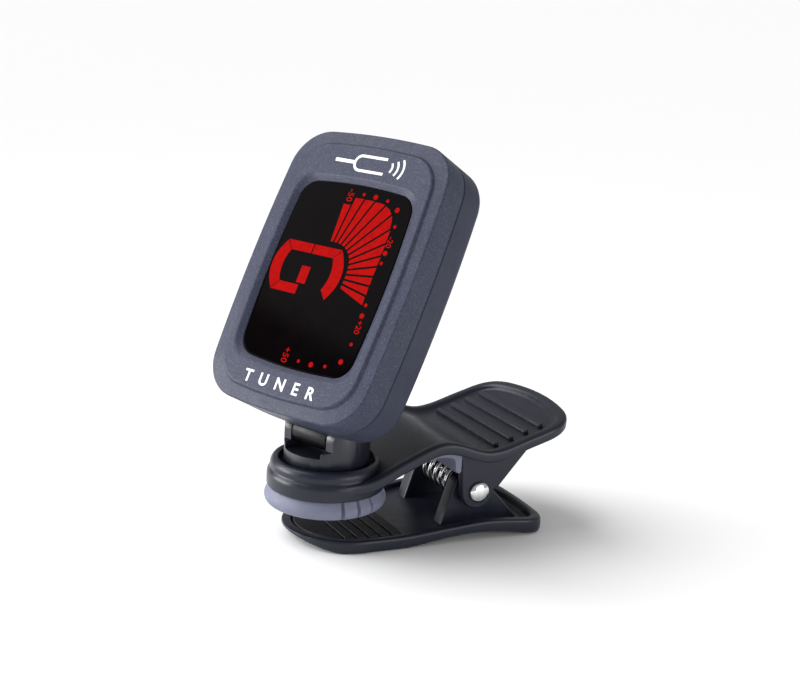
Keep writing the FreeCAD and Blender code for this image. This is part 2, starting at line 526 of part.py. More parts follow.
def make_shell_screws():
    """Four self-tapping screws, driven from the back."""
    screws = []
    for side in (1, -1):
        for z in (SCREW_LOW, SCREW_HIGH):
            x = side * SCREW_U
            screw = head_rod(SCREW_HEAD_RADIUS, x, z, SCREW_SEAT_N - SCREW_HEAD_HEIGHT, SCREW_SEAT_N)
            screw = fuse_all([screw, head_rod(SCREW_RADIUS, x, z, SCREW_SEAT_N, SCREW_TIP_N)])
            top = SCREW_SEAT_N - SCREW_HEAD_HEIGHT + CROSS_DEPTH
            for half_x, half_z in ((CROSS_ARM, CROSS_WIDTH / 2), (CROSS_WIDTH / 2, CROSS_ARM)):
                screw = screw.cut(box(x - half_x, x + half_x, -top, 0, z - half_z, z + half_z))
            screws.append(screw)
    return Part.makeCompound(screws)


# ---- head: display and electronics -------------------------------------------------------
def make_display_lens():
    return window_stack([(-LENS_GAP, LENS_BACK_N), (-LENS_GAP, LENS_FRONT_N)])


def make_lcd_panel():
    return head_box(LCD_HALF, LCD_GLASS_LOW, LCD_HIGH, LCD_BACK_N, LENS_BACK_N)


def make_backlight():
    return head_box(LCD_HALF, LCD_LOW, LCD_HIGH, BOARD_FRONT_N, LCD_BACK_N)


def make_zebra_strip():
    return head_box(ZEBRA_HALF, BOARD_LOW, LCD_LOW - ZEBRA_GAP, BOARD_FRONT_N, LCD_BACK_N)


def make_circuit_board():
    return head_box(BOARD_HALF, BOARD_LOW, BOARD_HIGH, BOARD_BACK_N, BOARD_FRONT_N)


def make_tuner_chip():
    return head_box(CHIP_HALF, CHIP_LOW, CHIP_HIGH, BOARD_BACK_N - CHIP_THICKNESS, BOARD_BACK_N)


def make_tilt_switch():
    """The switch that turns the tuner off when the head is folded down."""
    return box(
        TILT_SWITCH_X0, TILT_SWITCH_X1, -BOARD_BACK_N, TILT_SWITCH_DEPTH - BOARD_BACK_N,
        TILT_SWITCH_LOW, TILT_SWITCH_HIGH)


def make_battery_cell():
    return head_rod(CELL_RADIUS, 0, CELL_Z, CELL_REAR_N, CELL_FRONT_N)


def make_contact_negative():
    """A flat spring finger between the cell and the board."""
    low = CELL_Z - FINGER_REACH
    finger = head_box(FINGER_HALF, low, CELL_Z + FINGER_REACH, CELL_FRONT_N, CELL_FRONT_N + FINGER_THICKNESS)
    foot = head_box(FINGER_HALF, low, low + FINGER_FOOT, CELL_FRONT_N, BOARD_BACK_N)
    return fuse_all([finger, foot])


def make_contact_positive():
    """A clip that touches the cell's rim."""
    x = CELL_RADIUS + CLIP_GAP
    return box(x, x + CLIP_THICKNESS, -BOARD_BACK_N, -CELL_REAR_N, CELL_Z - CLIP_HALF, CELL_Z + CLIP_HALF)


def make_piezo_disc():
    return head_rod(PIEZO_RADIUS, 0, PIEZO_Z, REAR_WALL_N, REAR_WALL_N + PIEZO_THICKNESS)


# ---- placing and export ----------------------------------------------------------------------
def as_built(shape):
    return shape


def on_turret(shape):
    """Turns a piece with the swivel."""
    shape.rotate(CENTRE, Z_AXIS, REST_YAW)
    return shape


def on_head(shape):
    """Leans a head piece back, lifts it to the tilt axis and turns it with the swivel."""
    shape.rotate(CENTRE, X_AXIS, -REST_LEAN)
    shape.translate(V(0, -TILT_FORWARD, TILT_Z))
    return on_turret(shape)


NODES = [
    ("lower_jaw", make_lower_jaw, as_built),
    ("lower_jaw_pad", make_lower_jaw_pad, as_built),
    ("pivot_pin", make_pivot_pin, as_built),
    ("pivot_retainer", make_pivot_retainer, as_built),
    ("torsion_spring", make_torsion_spring, as_built),
    ("upper_jaw", make_upper_jaw, as_built),
    ("upper_jaw_pad", make_upper_jaw_pad, as_built),
    ("lever_liner", make_lever_liner, as_built),
    ("swivel_washer", make_swivel_washer, as_built),
    ("turret", make_turret, on_turret),
    ("spring_washer", make_spring_washer, on_turret),
    ("swivel_screw", make_swivel_screw, on_turret),
    ("tilt_pin", make_tilt_pin, on_turret),
    ("tilt_washers", make_tilt_washers, on_turret),
    ("front_shell", make_front_shell, on_head),
    ("rear_shell", make_rear_shell, on_head),
    ("battery_door", make_battery_door, on_head),
    ("head_knuckle", make_knuckle, on_head),
    ("shell_screws", make_shell_screws, on_head),
    ("display_lens", make_display_lens, on_head),
    ("lcd_panel", make_lcd_panel, on_head),
    ("backlight", make_backlight, on_head),
    ("zebra_strip", make_zebra_strip, on_head),
    ("circuit_board", make_circuit_board, on_head),
    ("tuner_chip", make_tuner_chip, on_head),
    ("tilt_switch", make_tilt_switch, on_head),
    ("battery_cell", make_battery_cell, on_head),
    ("contact_negative", make_contact_negative, on_head),
    ("contact_positive", make_contact_positive, on_head),
    ("piezo_disc", make_piezo_disc, on_head),
]

os.makedirs("parts", exist_ok=True)
for name, make, place in NODES:
    place(make()).exportStep(f"parts/{name}.step")
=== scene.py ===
"""Looks of a clip-on tuner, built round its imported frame.

Sizes in the classes are millimetres in the frame's own axes: +X to the side of the clip,
-Y to the jaws' noses, +Y to the finger levers, +Z up. Blender works in metres.
"""
import json
import logging
import math
from dataclasses import dataclass, field
from enum import Enum
from typing import Callable, Iterable, Sequence

import bmesh
import bpy
from mathutils import Matrix, Vector


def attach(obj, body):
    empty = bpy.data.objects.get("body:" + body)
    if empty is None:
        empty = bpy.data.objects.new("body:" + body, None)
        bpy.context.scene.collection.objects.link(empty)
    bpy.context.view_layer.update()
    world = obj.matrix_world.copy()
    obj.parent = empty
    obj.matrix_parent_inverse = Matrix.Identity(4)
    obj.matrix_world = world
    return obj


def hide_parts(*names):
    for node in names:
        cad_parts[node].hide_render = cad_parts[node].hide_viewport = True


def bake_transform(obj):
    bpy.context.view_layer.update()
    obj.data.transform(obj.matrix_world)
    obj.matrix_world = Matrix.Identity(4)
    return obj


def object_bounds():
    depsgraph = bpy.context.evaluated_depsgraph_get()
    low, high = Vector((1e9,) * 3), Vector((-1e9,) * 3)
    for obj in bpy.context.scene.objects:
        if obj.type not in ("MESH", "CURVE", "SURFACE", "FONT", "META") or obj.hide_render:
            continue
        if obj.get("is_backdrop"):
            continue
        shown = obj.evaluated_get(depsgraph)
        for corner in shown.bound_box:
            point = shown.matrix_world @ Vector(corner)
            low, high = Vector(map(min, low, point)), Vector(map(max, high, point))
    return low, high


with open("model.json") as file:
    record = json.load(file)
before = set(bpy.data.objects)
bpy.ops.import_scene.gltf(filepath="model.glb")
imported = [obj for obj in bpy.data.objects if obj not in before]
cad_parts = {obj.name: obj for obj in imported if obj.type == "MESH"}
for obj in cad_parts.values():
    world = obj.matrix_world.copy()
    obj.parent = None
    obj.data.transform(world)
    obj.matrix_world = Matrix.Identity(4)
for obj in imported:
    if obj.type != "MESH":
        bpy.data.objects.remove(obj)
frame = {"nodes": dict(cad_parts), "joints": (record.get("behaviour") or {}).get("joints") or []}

log = logging.getLogger("tuner")
MM = 0.001
Point2 = tuple[float, float]
Point3 = tuple[float, float, float]
Place = Callable[[float, float, float], Vector]
Colour = tuple[float, float, float]


# ---- places --------------------------------------------------------------------
def on_clip(x: float, y: float, z: float) -> Vector:
    """A point of the clip, given in the frame's own axes."""
    return Vector((x, y, z)) * MM


def joint(name: str) -> dict:
    """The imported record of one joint."""
    return next(j for j in frame["joints"] if j["name"] == name)


@dataclass(frozen=True)
class HeadAxes:
    """The head's own axes: right, up its face and out of its face, from the tilt axis."""

    origin: Vector
    right: Vector
    up: Vector
    out: Vector

    @classmethod
    def from_joints(cls) -> "HeadAxes":
        """The axes, read from the tilt joint and the battery door's slide.

        Returns:
            The head's axes at rest.
        """
        tilt = joint("head_tilt")
        right = -Vector(tilt["axis"]).normalized()
        up = Vector(joint("battery_door_slide")["axis"]).normalized()
        return cls(Vector(tilt["pos_m"]), right, up, right.cross(up))

    def point(self, right: float, up: float, out: float) -> Vector:
        """A point of the head, given in the head's own axes."""
        return self.origin + (self.right * right + self.up * up + self.out * out) * MM


# ---- curves and outlines ---------------------------------------------------------
def soften(corners: Sequence[tuple[float, ...]], steps: int = 4) -> list[Point2]:
    """Round the corners of an open profile.

    Args:
        corners: points as (a, b) or (a, b, reach), reach being how far the round extends.
        steps: how many pieces each round has.

    Returns:
        The points of the softened profile.
    """
    points = [corners[0][:2]]
    for before, corner, after in zip(corners, corners[1:], corners[2:]):
        if len(corner) == 2:
            points.append(corner)
            continue
        here = Vector(corner[:2])
        start = here + (Vector(before[:2]) - here).normalized() * corner[2]
        end = here + (Vector(after[:2]) - here).normalized() * corner[2]
        for k in range(steps + 1):
            t = k / steps
            spot = start * (1 - t) ** 2 + here * (2 * t * (1 - t)) + end * t ** 2
            points.append((spot.x, spot.y))
    points.append(corners[-1][:2])
    return points


def between(start: Point2, end: Point2, count: int) -> list[Point2]:
    """Points spaced evenly along a line, with its start and without its end."""
    return [
        (start[0] + (end[0] - start[0]) * k / count, start[1] + (end[1] - start[1]) * k / count)
        for k in range(count)]


def inset_loop(loop: Sequence[Point2], distance: float) -> list[Point2]:
    """Move each point of an anticlockwise loop inwards.

    Args:
        loop: the closed outline's points.
        distance: how far each point moves.

    Returns:
        The smaller outline's points.
    """
    moved = []
    for k, here in enumerate(loop):
        along = Vector(loop[(k + 1) % len(loop)]) - Vector(loop[k - 1])
        inward = Vector((-along.y, along.x)).normalized()
        moved.append((here[0] + inward.x * distance, here[1] + inward.y * distance))
    return moved


class HeightCurve:
    """A smooth height over y, through a few chosen points."""

    def __init__(self, knots: Sequence[Point2]) -> None:
        """Keep the knots and work out the slope at each of them."""
        self.knots = list(knots)
        self.slopes = [self._slope(k) for k in range(len(knots))]

    def _slope(self, k: int) -> float:
        """The slope of the parabola through a knot and its two neighbours."""
        a, b, c = self.knots[max(0, min(k - 1, len(self.knots) - 3)):][:3]
        first = (b[1] - a[1]) / (b[0] - a[0])
        second = (c[1] - b[1]) / (c[0] - b[0])
        bend = (second - first) / (c[0] - a[0])
        return first + bend * (2 * self.knots[k][0] - a[0] - b[0])

    def at(self, y: float) -> float:
        """The height at y.

        Args:
            y: the place along the clip.

        Returns:
            The height of the curve there.
        """
        last = len(self.knots) - 2
        k = max(0, min(last, sum(1 for knot in self.knots[1:-1] if knot[0] <= y)))
        (y0, z0), (y1, z1) = self.knots[k], self.knots[k + 1]
        span = y1 - y0
        t = (y - y0) / span
        rise = (2 * t ** 3 - 3 * t ** 2 + 1) * z0 + (3 * t ** 2 - 2 * t ** 3) * z1
        lean = (t ** 3 - 2 * t ** 2 + t) * self.slopes[k] + (t ** 3 - t ** 2) * self.slopes[k + 1]
        return rise + lean * span


def crown_arc(half: float, base: float, crown: float, count: int) -> list[Point2]:
    """Points on the arc from (0, crown) to (half, base), both ends included."""
    drop = base - crown
    radius = (half ** 2 + drop ** 2) / (2 * abs(drop))
    side = -1 if drop > 0 else 1
    centre = crown - side * radius
    sweep = math.atan2(half, side * (base - centre))
    return [
        (radius * math.sin(sweep * k / count), centre + side * radius * math.cos(sweep * k / count))
        for k in range(count + 1)]


@dataclass(frozen=True)
class Paddle:
    """Plan outline of a jaw: a round nose, flaring sides and a bowed tail."""

    nose_half: float
    nose_y: float
    front_y: float
    bend_half: float
    bend_y: float
    tail_half: float
    tail_y: float
    rear_y: float
    corner: float
    bend_reach: float = 3.0

    def half(self, inset: float) -> list[Point2]:
        """The +X half of the outline, from the nose's middle to the tail's middle.

        Args:
            inset: how far inside the full outline it runs.

        Returns:
            The points, always the same number.
        """
        nose = crown_arc(self.nose_half - inset, self.nose_y, self.front_y + inset, 24)
        tail_half = self.tail_half - inset
        bend = Vector((self.bend_half - inset, self.bend_y))
        reach = max(0.5, self.corner - 0.6 * inset)
        corner = Vector((tail_half, self.tail_y - inset))
        run_in = (Vector(nose[-1]) - bend).normalized() * self.bend_reach
        run_out = (corner - bend).normalized() * self.bend_reach
        corner_start = corner - (corner - bend).normalized() * reach
        tail = crown_arc(tail_half, self.tail_y - inset, self.rear_y - inset, 24)
        tail = [p for p in tail if p[0] <= tail_half - reach]
        tail = resample(tail[::-1], 12)
        points = nose[:-1] + between(nose[-1], tuple(bend + run_in), 24)
        points += soften([bend + run_in, (*bend, self.bend_reach), bend + run_out], 6)[1:-1][:-1]
        points += between(tuple(bend + run_out), tuple(corner_start), 14)
        rounded = soften([corner_start, (*corner, reach), tail[0]], 8)
        points += [corner_start[:]] + rounded[2:-2]
        return points + tail

    def loop(self, inset: float) -> list[Point2]:
        """The whole outline, from the nose's middle round by +X and back by -X."""
        half = self.half(inset)
        return half + [(-x, y) for x, y in half[-2:0:-1]]

    def half_width(self, y: float) -> float:
        """Half the width at y, in front of the bend."""
        share = (y - self.nose_y) / (self.bend_y - self.nose_y)
        return self.nose_half + (self.bend_half - self.nose_half) * min(1.0, max(0.0, share))


def resample(points: Sequence[Point2], count: int) -> list[Point2]:
    """The same path with evenly spaced points.

    Args:
        points: the path.
        count: how many spans the result has.

    Returns:
        count + 1 points, the first and last of them unchanged.
    """
    lengths = [0.0]
    for a, b in zip(points, points[1:]):
        lengths.append(lengths[-1] + math.dist(a, b))
    result = []
    for k in range(count + 1):
        goal = lengths[-1] * k / count
        i = max(0, min(len(points) - 2, sum(1 for d in lengths[1:-1] if d <= goal)))
        t = (goal - lengths[i]) / (lengths[i + 1] - lengths[i])
        result.append(tuple(Vector(points[i]).lerp(Vector(points[i + 1]), t)))
    return result


@dataclass(frozen=True)
class BowedFrame:
    """A four-sided outline with bowed sides and round corners."""

    half: float
    low: float
    high: float
    bulge: float
    corner: float

    def _quarter(self, inset: float) -> list[Point2]:
        """The outline from the middle of the right side to the middle of the top."""
        width = self.half - inset
        height = (self.high - self.low) / 2 - inset
        side = ((height - self.bulge) ** 2 + self.bulge ** 2) / (2 * self.bulge)
        top = ((width - self.bulge) ** 2 + self.bulge ** 2) / (2 * self.bulge)
        radius = max(0.4, self.corner - inset / 2)
        a, b = Vector((width - side, 0.0)), Vector((0.0, height - top))
        reach_a, reach_b, gap = side - radius, top - radius, b - a
        along = (reach_a ** 2 - reach_b ** 2 + gap.length_squared) / (2 * gap.length)
        across = math.sqrt(reach_a ** 2 - along ** 2)
        normal = Vector((gap.y, -gap.x)).normalized()
        spots = [a + gap.normalized() * along + normal * across * sign for sign in (1, -1)]
        corner = max(spots, key=lambda spot: min(spot))
        turn_a = math.atan2(*(corner - a).yx)
        turn_b = math.atan2(*(corner - b).yx)
        stretches = (
            (a, side, 0.0, turn_a, 14),
            (corner, radius, turn_a, turn_b, 14),
            (b, top, turn_b, math.pi / 2, 12))
        points = []
        for centre, reach, start, end, count in stretches:
            for k in range(count):
                angle = start + (end - start) * k / count
                points.append((centre.x + reach * math.cos(angle), centre.y + reach * math.sin(angle)))
        return points + [(0.0, height)]

    def loop(self, inset: float) -> list[Point2]:
        """The whole outline, anticlockwise from the middle of the right side.

        Args:
            inset: how far inside the full outline it runs; negative is outside.

        Returns:
            The points, always the same number.
        """
        middle = (self.low + self.high) / 2
        quarter = self._quarter(inset)
        upper = quarter + [(-u, v) for u, v in quarter[-2::-1]]
        whole = upper + [(u, -v) for u, v in upper[-2:0:-1]]
        return [(u, v + middle) for u, v in whole]


# ---- drawing a mesh --------------------------------------------------------------
class Draft:
    """The vertices and faces of one piece while it is being drawn."""

    def __init__(self, place: Place = on_clip) -> None:
        """Start empty, with the axes that points are given in."""
        self.place = place
        self.points: list[Vector] = []
        self.faces: list[tuple[int, ...]] = []

    def ring(self, points: Iterable[Point3]) -> list[int]:
        """Add points and give their numbers."""
        first = len(self.points)
        self.points.extend(self.place(*p) for p in points)
        return list(range(first, len(self.points)))

    def skin(self, rings: Sequence[Sequence[int]], closed: bool = True) -> None:
        """Join rings of equal length with bands of four-sided faces.

        Args:
            rings: the numbers of each ring's points.
            closed: whether each ring joins up with itself.
        """
        for lower, upper in zip(rings, rings[1:]):
            count = len(lower)
            for k in range(count if closed else count - 1):
                j = (k + 1) % count
                self.faces.append((lower[k], lower[j], upper[j], upper[k]))

    def cap(self, ring: Sequence[int]) -> None:
        """Close a flat ring with one face."""
        self.faces.append(tuple(ring))

    def ladder(self, ring: Sequence[int]) -> None:
        """Close a ring that mirrors itself across X, with rungs from side to side."""
        count = len(ring)
        for k in range(count // 2):
            rung = (ring[k], ring[k + 1], ring[(count - k - 1) % count], ring[(count - k) % count])
            self.faces.append(tuple(dict.fromkeys(rung)))

    def stack(self, rings: Iterable[Iterable[Point3]], low_cap: bool = True, high_cap: bool = True) -> None:
        """A closed form through outlines, with flat ends.

        Args:
            rings: the outlines in order, with equal numbers of points.
            low_cap: whether the first outline is closed.
            high_cap: whether the last outline is closed.
        """
        numbers = [self.ring(points) for points in rings]
        self.skin(numbers)
        if low_cap:
            self.cap(numbers[0])
        if high_cap:
            self.cap(numbers[-1])

    def turn(self, profile: Sequence[Point2], count: int, centre: Place) -> None:
        """A turned form: the profile's ends are closed flat.

        Args:
            profile: (radius, height) pairs.
            count: how many points each ring has.
            centre: gives a point from (radius * cos, radius * sin, height).
        """
        steps = [2 * math.pi * k / count for k in range(count)]
        self.stack([[tuple(centre(r * math.cos(t), r * math.sin(t), h)) for t in steps] for r, h in profile])

    def tube(self, path: Sequence[Vector], radius: float, sides: int = 12) -> None:
        """A round bar along a path, with its ends rounded over.

        Args:
            path: the centre line's points.
            radius: the bar's radius.
            sides: how many points go round it.
        """
        start = (path[1] - path[0]).normalized()
        across = start.orthogonal().normalized()
        path = [path[0] - start * radius * 0.5] + list(path)
        path += [path[-1] + (path[-1] - path[-2]).normalized() * radius * 0.5]
        last = len(path) - 1
        rings = []
        for k, here in enumerate(path):
            along = (path[min(k + 1, last)] - path[max(k - 1, 0)]).normalized()
            across = (across - along * across.dot(along)).normalized()
            other = along.cross(across)
            size = radius * (0.55 if k in (0, last) else 1.0)
            angles = [2 * math.pi * i / sides for i in range(sides)]
            rings.append([tuple(here + (across * math.cos(t) + other * math.sin(t)) * size) for t in angles])
        self.stack(rings)

    def mesh(self, name: str) -> bpy.types.Mesh:
        """The mesh drawn so far, with its faces turned outwards."""
        mesh = bpy.data.meshes.new(name)
        mesh.from_pydata(self.points, [], self.faces)
        work = bmesh.new()
        work.from_mesh(mesh)
        bmesh.ops.remove_doubles(work, verts=work.verts, dist=MM * 0.001)
        bmesh.ops.recalc_face_normals(work, faces=work.faces)
        work.to_mesh(mesh)
        work.free()
        return mesh


def as_object(name: str, mesh: bpy.types.Mesh) -> bpy.types.Object:
    """Put a mesh in the scene under a name."""
    piece = bpy.data.objects.new(name, mesh)
    bpy.context.scene.collection.objects.link(piece)
    return piece


class Cut(Enum):
    """What a cutter does to a piece."""

    AWAY = "DIFFERENCE"
    KEEP = "INTERSECT"


def carve(piece: bpy.types.Object, cutter: Draft, cut: Cut = Cut.AWAY) -> None:
    """Cut a piece by a closed form and keep the result as its mesh.

    Args:
        piece: the object that is cut.
        cutter: the closed form.
        cut: whether the form is taken away or kept.
    """
    tool = as_object("cutter", cutter.mesh("cutter"))
    step = piece.modifiers.new("cut", "BOOLEAN")
    step.operation = cut.value
    step.solver = "MANIFOLD"
    step.object = tool
    bake(piece)
    bpy.data.objects.remove(tool)


def bake(piece: bpy.types.Object) -> None:
    """Make a piece's modifiers part of its mesh."""
    bpy.context.view_layer.update()
    shaped = piece.evaluated_get(bpy.context.evaluated_depsgraph_get())
    mesh = bpy.data.meshes.new_from_object(shaped)
    piece.modifiers.clear()
    piece.data = mesh


def join(target: bpy.types.Object, drafts: Iterable[bpy.types.Mesh]) -> None:
    """Add further closed forms to a piece's mesh."""
    work = bmesh.new()
    work.from_mesh(target.data)
    for mesh in drafts:
        work.from_mesh(mesh)
    work.to_mesh(target.data)
    work.free()


def round_edges(piece: bpy.types.Object, width: float, angle: float = 32.0, segments: int = 3) -> None:
    """Soften the edges of a piece with a bevel.

    Args:
        piece: the object.
        width: the bevel's width in millimetres.
        angle: the least turn, in degrees, of an edge that is softened.
        segments: how many bands the bevel has.
    """
    weld = piece.modifiers.new("weld", "WELD")
    weld.merge_threshold = MM * 0.002
    bevel = piece.modifiers.new("bevel", "BEVEL")
    bevel.width = width * MM
    bevel.segments = segments
    bevel.limit_method = "ANGLE"
    bevel.angle_limit = math.radians(angle)
    bevel.harden_normals = True


class Workshop:
    """Turns drafts into pieces of the model and reports them."""

    def __init__(self, finishes: dict[str, bpy.types.Material]) -> None:
        """Keep the material of each slot."""
        self.finishes = finishes

    def dress(self, piece: bpy.types.Object, body: str, slot: str, nodes: Sequence[str],
              crease: float = 34.0) -> None:
        """Give a finished mesh its shading, finish and body.

        Args:
            piece: the object.
            body: the CAD body it moves with.
            slot: the record's material slot.
            nodes: the CAD nodes it stands for.
            crease: the turn, in degrees, above which an edge stays sharp.
        """
        piece.data.shade_smooth()
        piece.data.set_sharp_from_angle(angle=math.radians(crease))
        piece.data.materials.clear()
        piece.data.materials.append(self.finishes[slot])
        if body:
            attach(piece, body)
        if nodes:
            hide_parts(*nodes)
        log.info("%s: %d faces on %s", piece.name, len(piece.data.polygons), body or "two bodies")


# ---- finishes --------------------------------------------------------------------
def screen_colour(red: int, green: int, blue: int) -> Colour:
    """Linear light from the 0 to 255 values of a colour on a screen."""
    shares = [value / 255 for value in (red, green, blue)]
    return tuple(s / 12.92 if s < 0.04045 else ((s + 0.055) / 1.055) ** 2.4 for s in shares)


class Recipe:
    """A material's nodes while they are put together."""

    def __init__(self, name: str) -> None:
        """Start from a plain principled shader."""
        self.material = bpy.data.materials.new(name)
        self.material.use_nodes = True
        self.tree = self.material.node_tree
        self.shader = self.tree.nodes["Principled BSDF"]
        self.place = self.tree.nodes.new("ShaderNodeTexCoord")

    def set(self, **values: object) -> None:
        """Set the shader's own sockets; an underscore in a name stands for a space."""
        for name, value in values.items():
            self.shader.inputs[name.replace("_", " ")].default_value = value

    def noise(self, size: float, detail: float = 2.0, stretch: Point3 = (1, 1, 1)) -> bpy.types.NodeSocket:
        """A soft random pattern.

        Args:
            size: how big its patches are, in millimetres.
            detail: how many finer layers it has.
            stretch: how much finer it is along each axis.

        Returns:
            The pattern's value, from 0 to 1.
        """
        mapping = self.tree.nodes.new("ShaderNodeMapping")
        mapping.inputs["Scale"].default_value = stretch
        pattern = self.tree.nodes.new("ShaderNodeTexNoise")
        pattern.inputs["Scale"].default_value = 1 / (size * MM)
        pattern.inputs["Detail"].default_value = detail
        self.tree.links.new(self.place.outputs["Object"], mapping.inputs["Vector"])
        self.tree.links.new(mapping.outputs["Vector"], pattern.inputs["Vector"])
        return pattern.outputs["Fac"]

    def cells(self, size: float) -> bpy.types.NodeSocket:
        """A random value for each of many small cells, from 0 to 1."""
        pattern = self.tree.nodes.new("ShaderNodeTexVoronoi")
        pattern.inputs["Scale"].default_value = 1 / (size * MM)
        split = self.tree.nodes.new("ShaderNodeSeparateColor")
        self.tree.links.new(self.place.outputs["Object"], pattern.inputs["Vector"])
        self.tree.links.new(pattern.outputs["Color"], split.inputs["Color"])
        return split.outputs["Red"]

    def spread(self, value: bpy.types.NodeSocket, low: float, high: float, start: float = 0.3,
               end: float = 0.7) -> bpy.types.NodeSocket:
        """Stretch a pattern's value between two others.

        Args:
            value: the pattern.
            low: the result where the pattern is at start or below.
            high: the result where the pattern is at end or above.
            start: the pattern's low mark.
            end: the pattern's high mark.

        Returns:
            The stretched value.
        """
        ramp = self.tree.nodes.new("ShaderNodeMapRange")
        for name, number in (("From Min", start), ("From Max", end), ("To Min", low), ("To Max", high)):
            ramp.inputs[name].default_value = number
        self.tree.links.new(value, ramp.inputs["Value"])
        return ramp.outputs["Result"]

    def blend(self, share: bpy.types.NodeSocket, first: object, second: object) -> bpy.types.NodeSocket:
        """A colour between two others.

        Args:
            share: how much of the second colour there is.
            first: a colour, or a socket that gives one.
            second: a colour, or a socket that gives one.

        Returns:
            The mixed colour.
        """
        mix = self.tree.nodes.new("ShaderNodeMix")
        mix.data_type = "RGBA"
        self.tree.links.new(share, mix.inputs["Factor"])
        for spot, colour in ((6, first), (7, second)):
            if isinstance(colour, bpy.types.NodeSocket):
                self.tree.links.new(colour, mix.inputs[spot])
            else:
                mix.inputs[spot].default_value = (*colour, 1.0)
        return mix.outputs[2]

    def feed(self, name: str, value: bpy.types.NodeSocket) -> None:
        """Link a value to one of the shader's sockets."""
        self.tree.links.new(value, self.shader.inputs[name])

    def relief(self, *layers: tuple[bpy.types.NodeSocket, float]) -> None:
        """Raise the surface by patterns, each given with its height in millimetres."""
        normal = None
        for pattern, height in layers:
            bump = self.tree.nodes.new("ShaderNodeBump")
            bump.inputs["Distance"].default_value = height * MM
            self.tree.links.new(pattern, bump.inputs["Height"])
            if normal:
                self.tree.links.new(normal, bump.inputs["Normal"])
            normal = bump.outputs["Normal"]
        self.feed("Normal", normal)


@dataclass(frozen=True)
class Moulded:
    """Moulded plastic or rubber: a mottled colour, a fine grain and, if wanted, flakes."""

    colour: Colour
    shade: Colour
    roughness: float
    roughness_spread: float = 0.06
    grain: float = 0.35
    grain_height: float = 0.006
    mottle: float = 5.0
    specular: float = 0.5
    coat: float = 0.0
    flake: float = 0.0
    flake_size: float = 0.16
    flake_colour: Colour = (0.5, 0.52, 0.6)

    def make(self, name: str) -> bpy.types.Material:
        """Build the material.

        Args:
            name: its name.

        Returns:
            The material.
        """
        recipe = Recipe(name)
        mottle = recipe.noise(self.mottle, 4.0)
        grain = recipe.noise(self.grain, 3.0)
        colour = recipe.blend(recipe.spread(mottle, 0.0, 1.0), self.colour, self.shade)
        if self.flake:
            flakes = recipe.spread(recipe.cells(self.flake_size), 0.0, self.flake, 0.8, 1.0)
            colour = recipe.blend(flakes, colour, self.flake_colour)
        recipe.feed("Base Color", colour)
        low, high = self.roughness - self.roughness_spread, self.roughness + self.roughness_spread
        recipe.feed("Roughness", recipe.spread(recipe.noise(1.4, 3.0), low, high))
        recipe.set(Specular_IOR_Level=self.specular, Coat_Weight=self.coat, Coat_Roughness=0.25)
        recipe.relief((grain, self.grain_height), (mottle, self.grain_height * 2))
        return recipe.material


@dataclass(frozen=True)
class BareMetal:
    """Metal with faint drawn lines and a slightly uneven polish."""

    colour: Colour
    roughness: float
    line_height: float = 0.001
    stretch: Point3 = (0.15, 1, 1)

    def make(self, name: str) -> bpy.types.Material:
        """Build the material.

        Args:
            name: its name.

        Returns:
            The material.
        """
        recipe = Recipe(name)
        lines = recipe.noise(0.12, 2.0, self.stretch)
        tone = recipe.spread(recipe.noise(1.2, 3.0), 0.0, 1.0)
        duller = tuple(0.82 * c for c in self.colour)
        recipe.feed("Base Color", recipe.blend(tone, self.colour, duller))
        recipe.feed("Roughness", recipe.spread(lines, self.roughness * 0.7, self.roughness * 1.4))
        recipe.set(Metallic=1.0)
        recipe.relief((lines, self.line_height))
        return recipe.material


@dataclass(frozen=True)
class DarkGlass:
    """A gloss window so dark that it looks black, with the faintest haze."""

    colour: Colour
    haze: Colour
    roughness: float = 0.08
    gloss: float = 0.012

    def make(self, name: str) -> bpy.types.Material:
        """Build the material.

        Args:
            name: its name.

        Returns:
            The material.
        """
        recipe = Recipe(name)
        cloud = recipe.spread(recipe.noise(9.0, 3.0), 0.0, 1.0)
        recipe.feed("Base Color", recipe.blend(cloud, self.colour, self.haze))
        polish = recipe.noise(3.0, 2.0)
        recipe.feed("Roughness", recipe.spread(polish, self.roughness * 0.8, self.roughness * 1.3))
        recipe.set(Specular_IOR_Level=self.gloss)
        return recipe.material


@dataclass(frozen=True)
class LitInk:
    """A part of the display that shines with its own colour, not quite evenly."""

    colour: Colour
    dim: Colour
    strength: float = 1.0

    def make(self, name: str) -> bpy.types.Material:
        """Build the material.

        Args:
            name: its name.

        Returns:
            The material.
        """
        recipe = Recipe(name)
        cloud = recipe.spread(recipe.noise(0.8, 3.0), 0.0, 1.0)
        recipe.feed("Emission Color", recipe.blend(cloud, self.colour, self.dim))
        recipe.feed("Base Color", recipe.blend(cloud, (0.02, 0.002, 0.002), (0.015, 0.001, 0.001)))
        recipe.set(Emission_Strength=self.strength, Roughness=0.5, Specular_IOR_Level=0.0)
        return recipe.material


@dataclass(frozen=True)
class PrintedBoard:
    """A lacquered circuit board with faint tracks under the lacquer."""

    colour: Colour
    track: Colour

    def make(self, name: str) -> bpy.types.Material:
        """Build the material.

        Args:
            name: its name.

        Returns:
            The material.
        """
        recipe = Recipe(name)
        tracks = recipe.spread(recipe.noise(1.1, 0.0, (1, 3, 1)), 0.0, 1.0, 0.49, 0.51)
        recipe.feed("Base Color", recipe.blend(tracks, self.colour, self.track))
        recipe.feed("Roughness", recipe.spread(recipe.noise(2.0, 2.0), 0.25, 0.4))
        recipe.relief((tracks, 0.02))
        return recipe.material


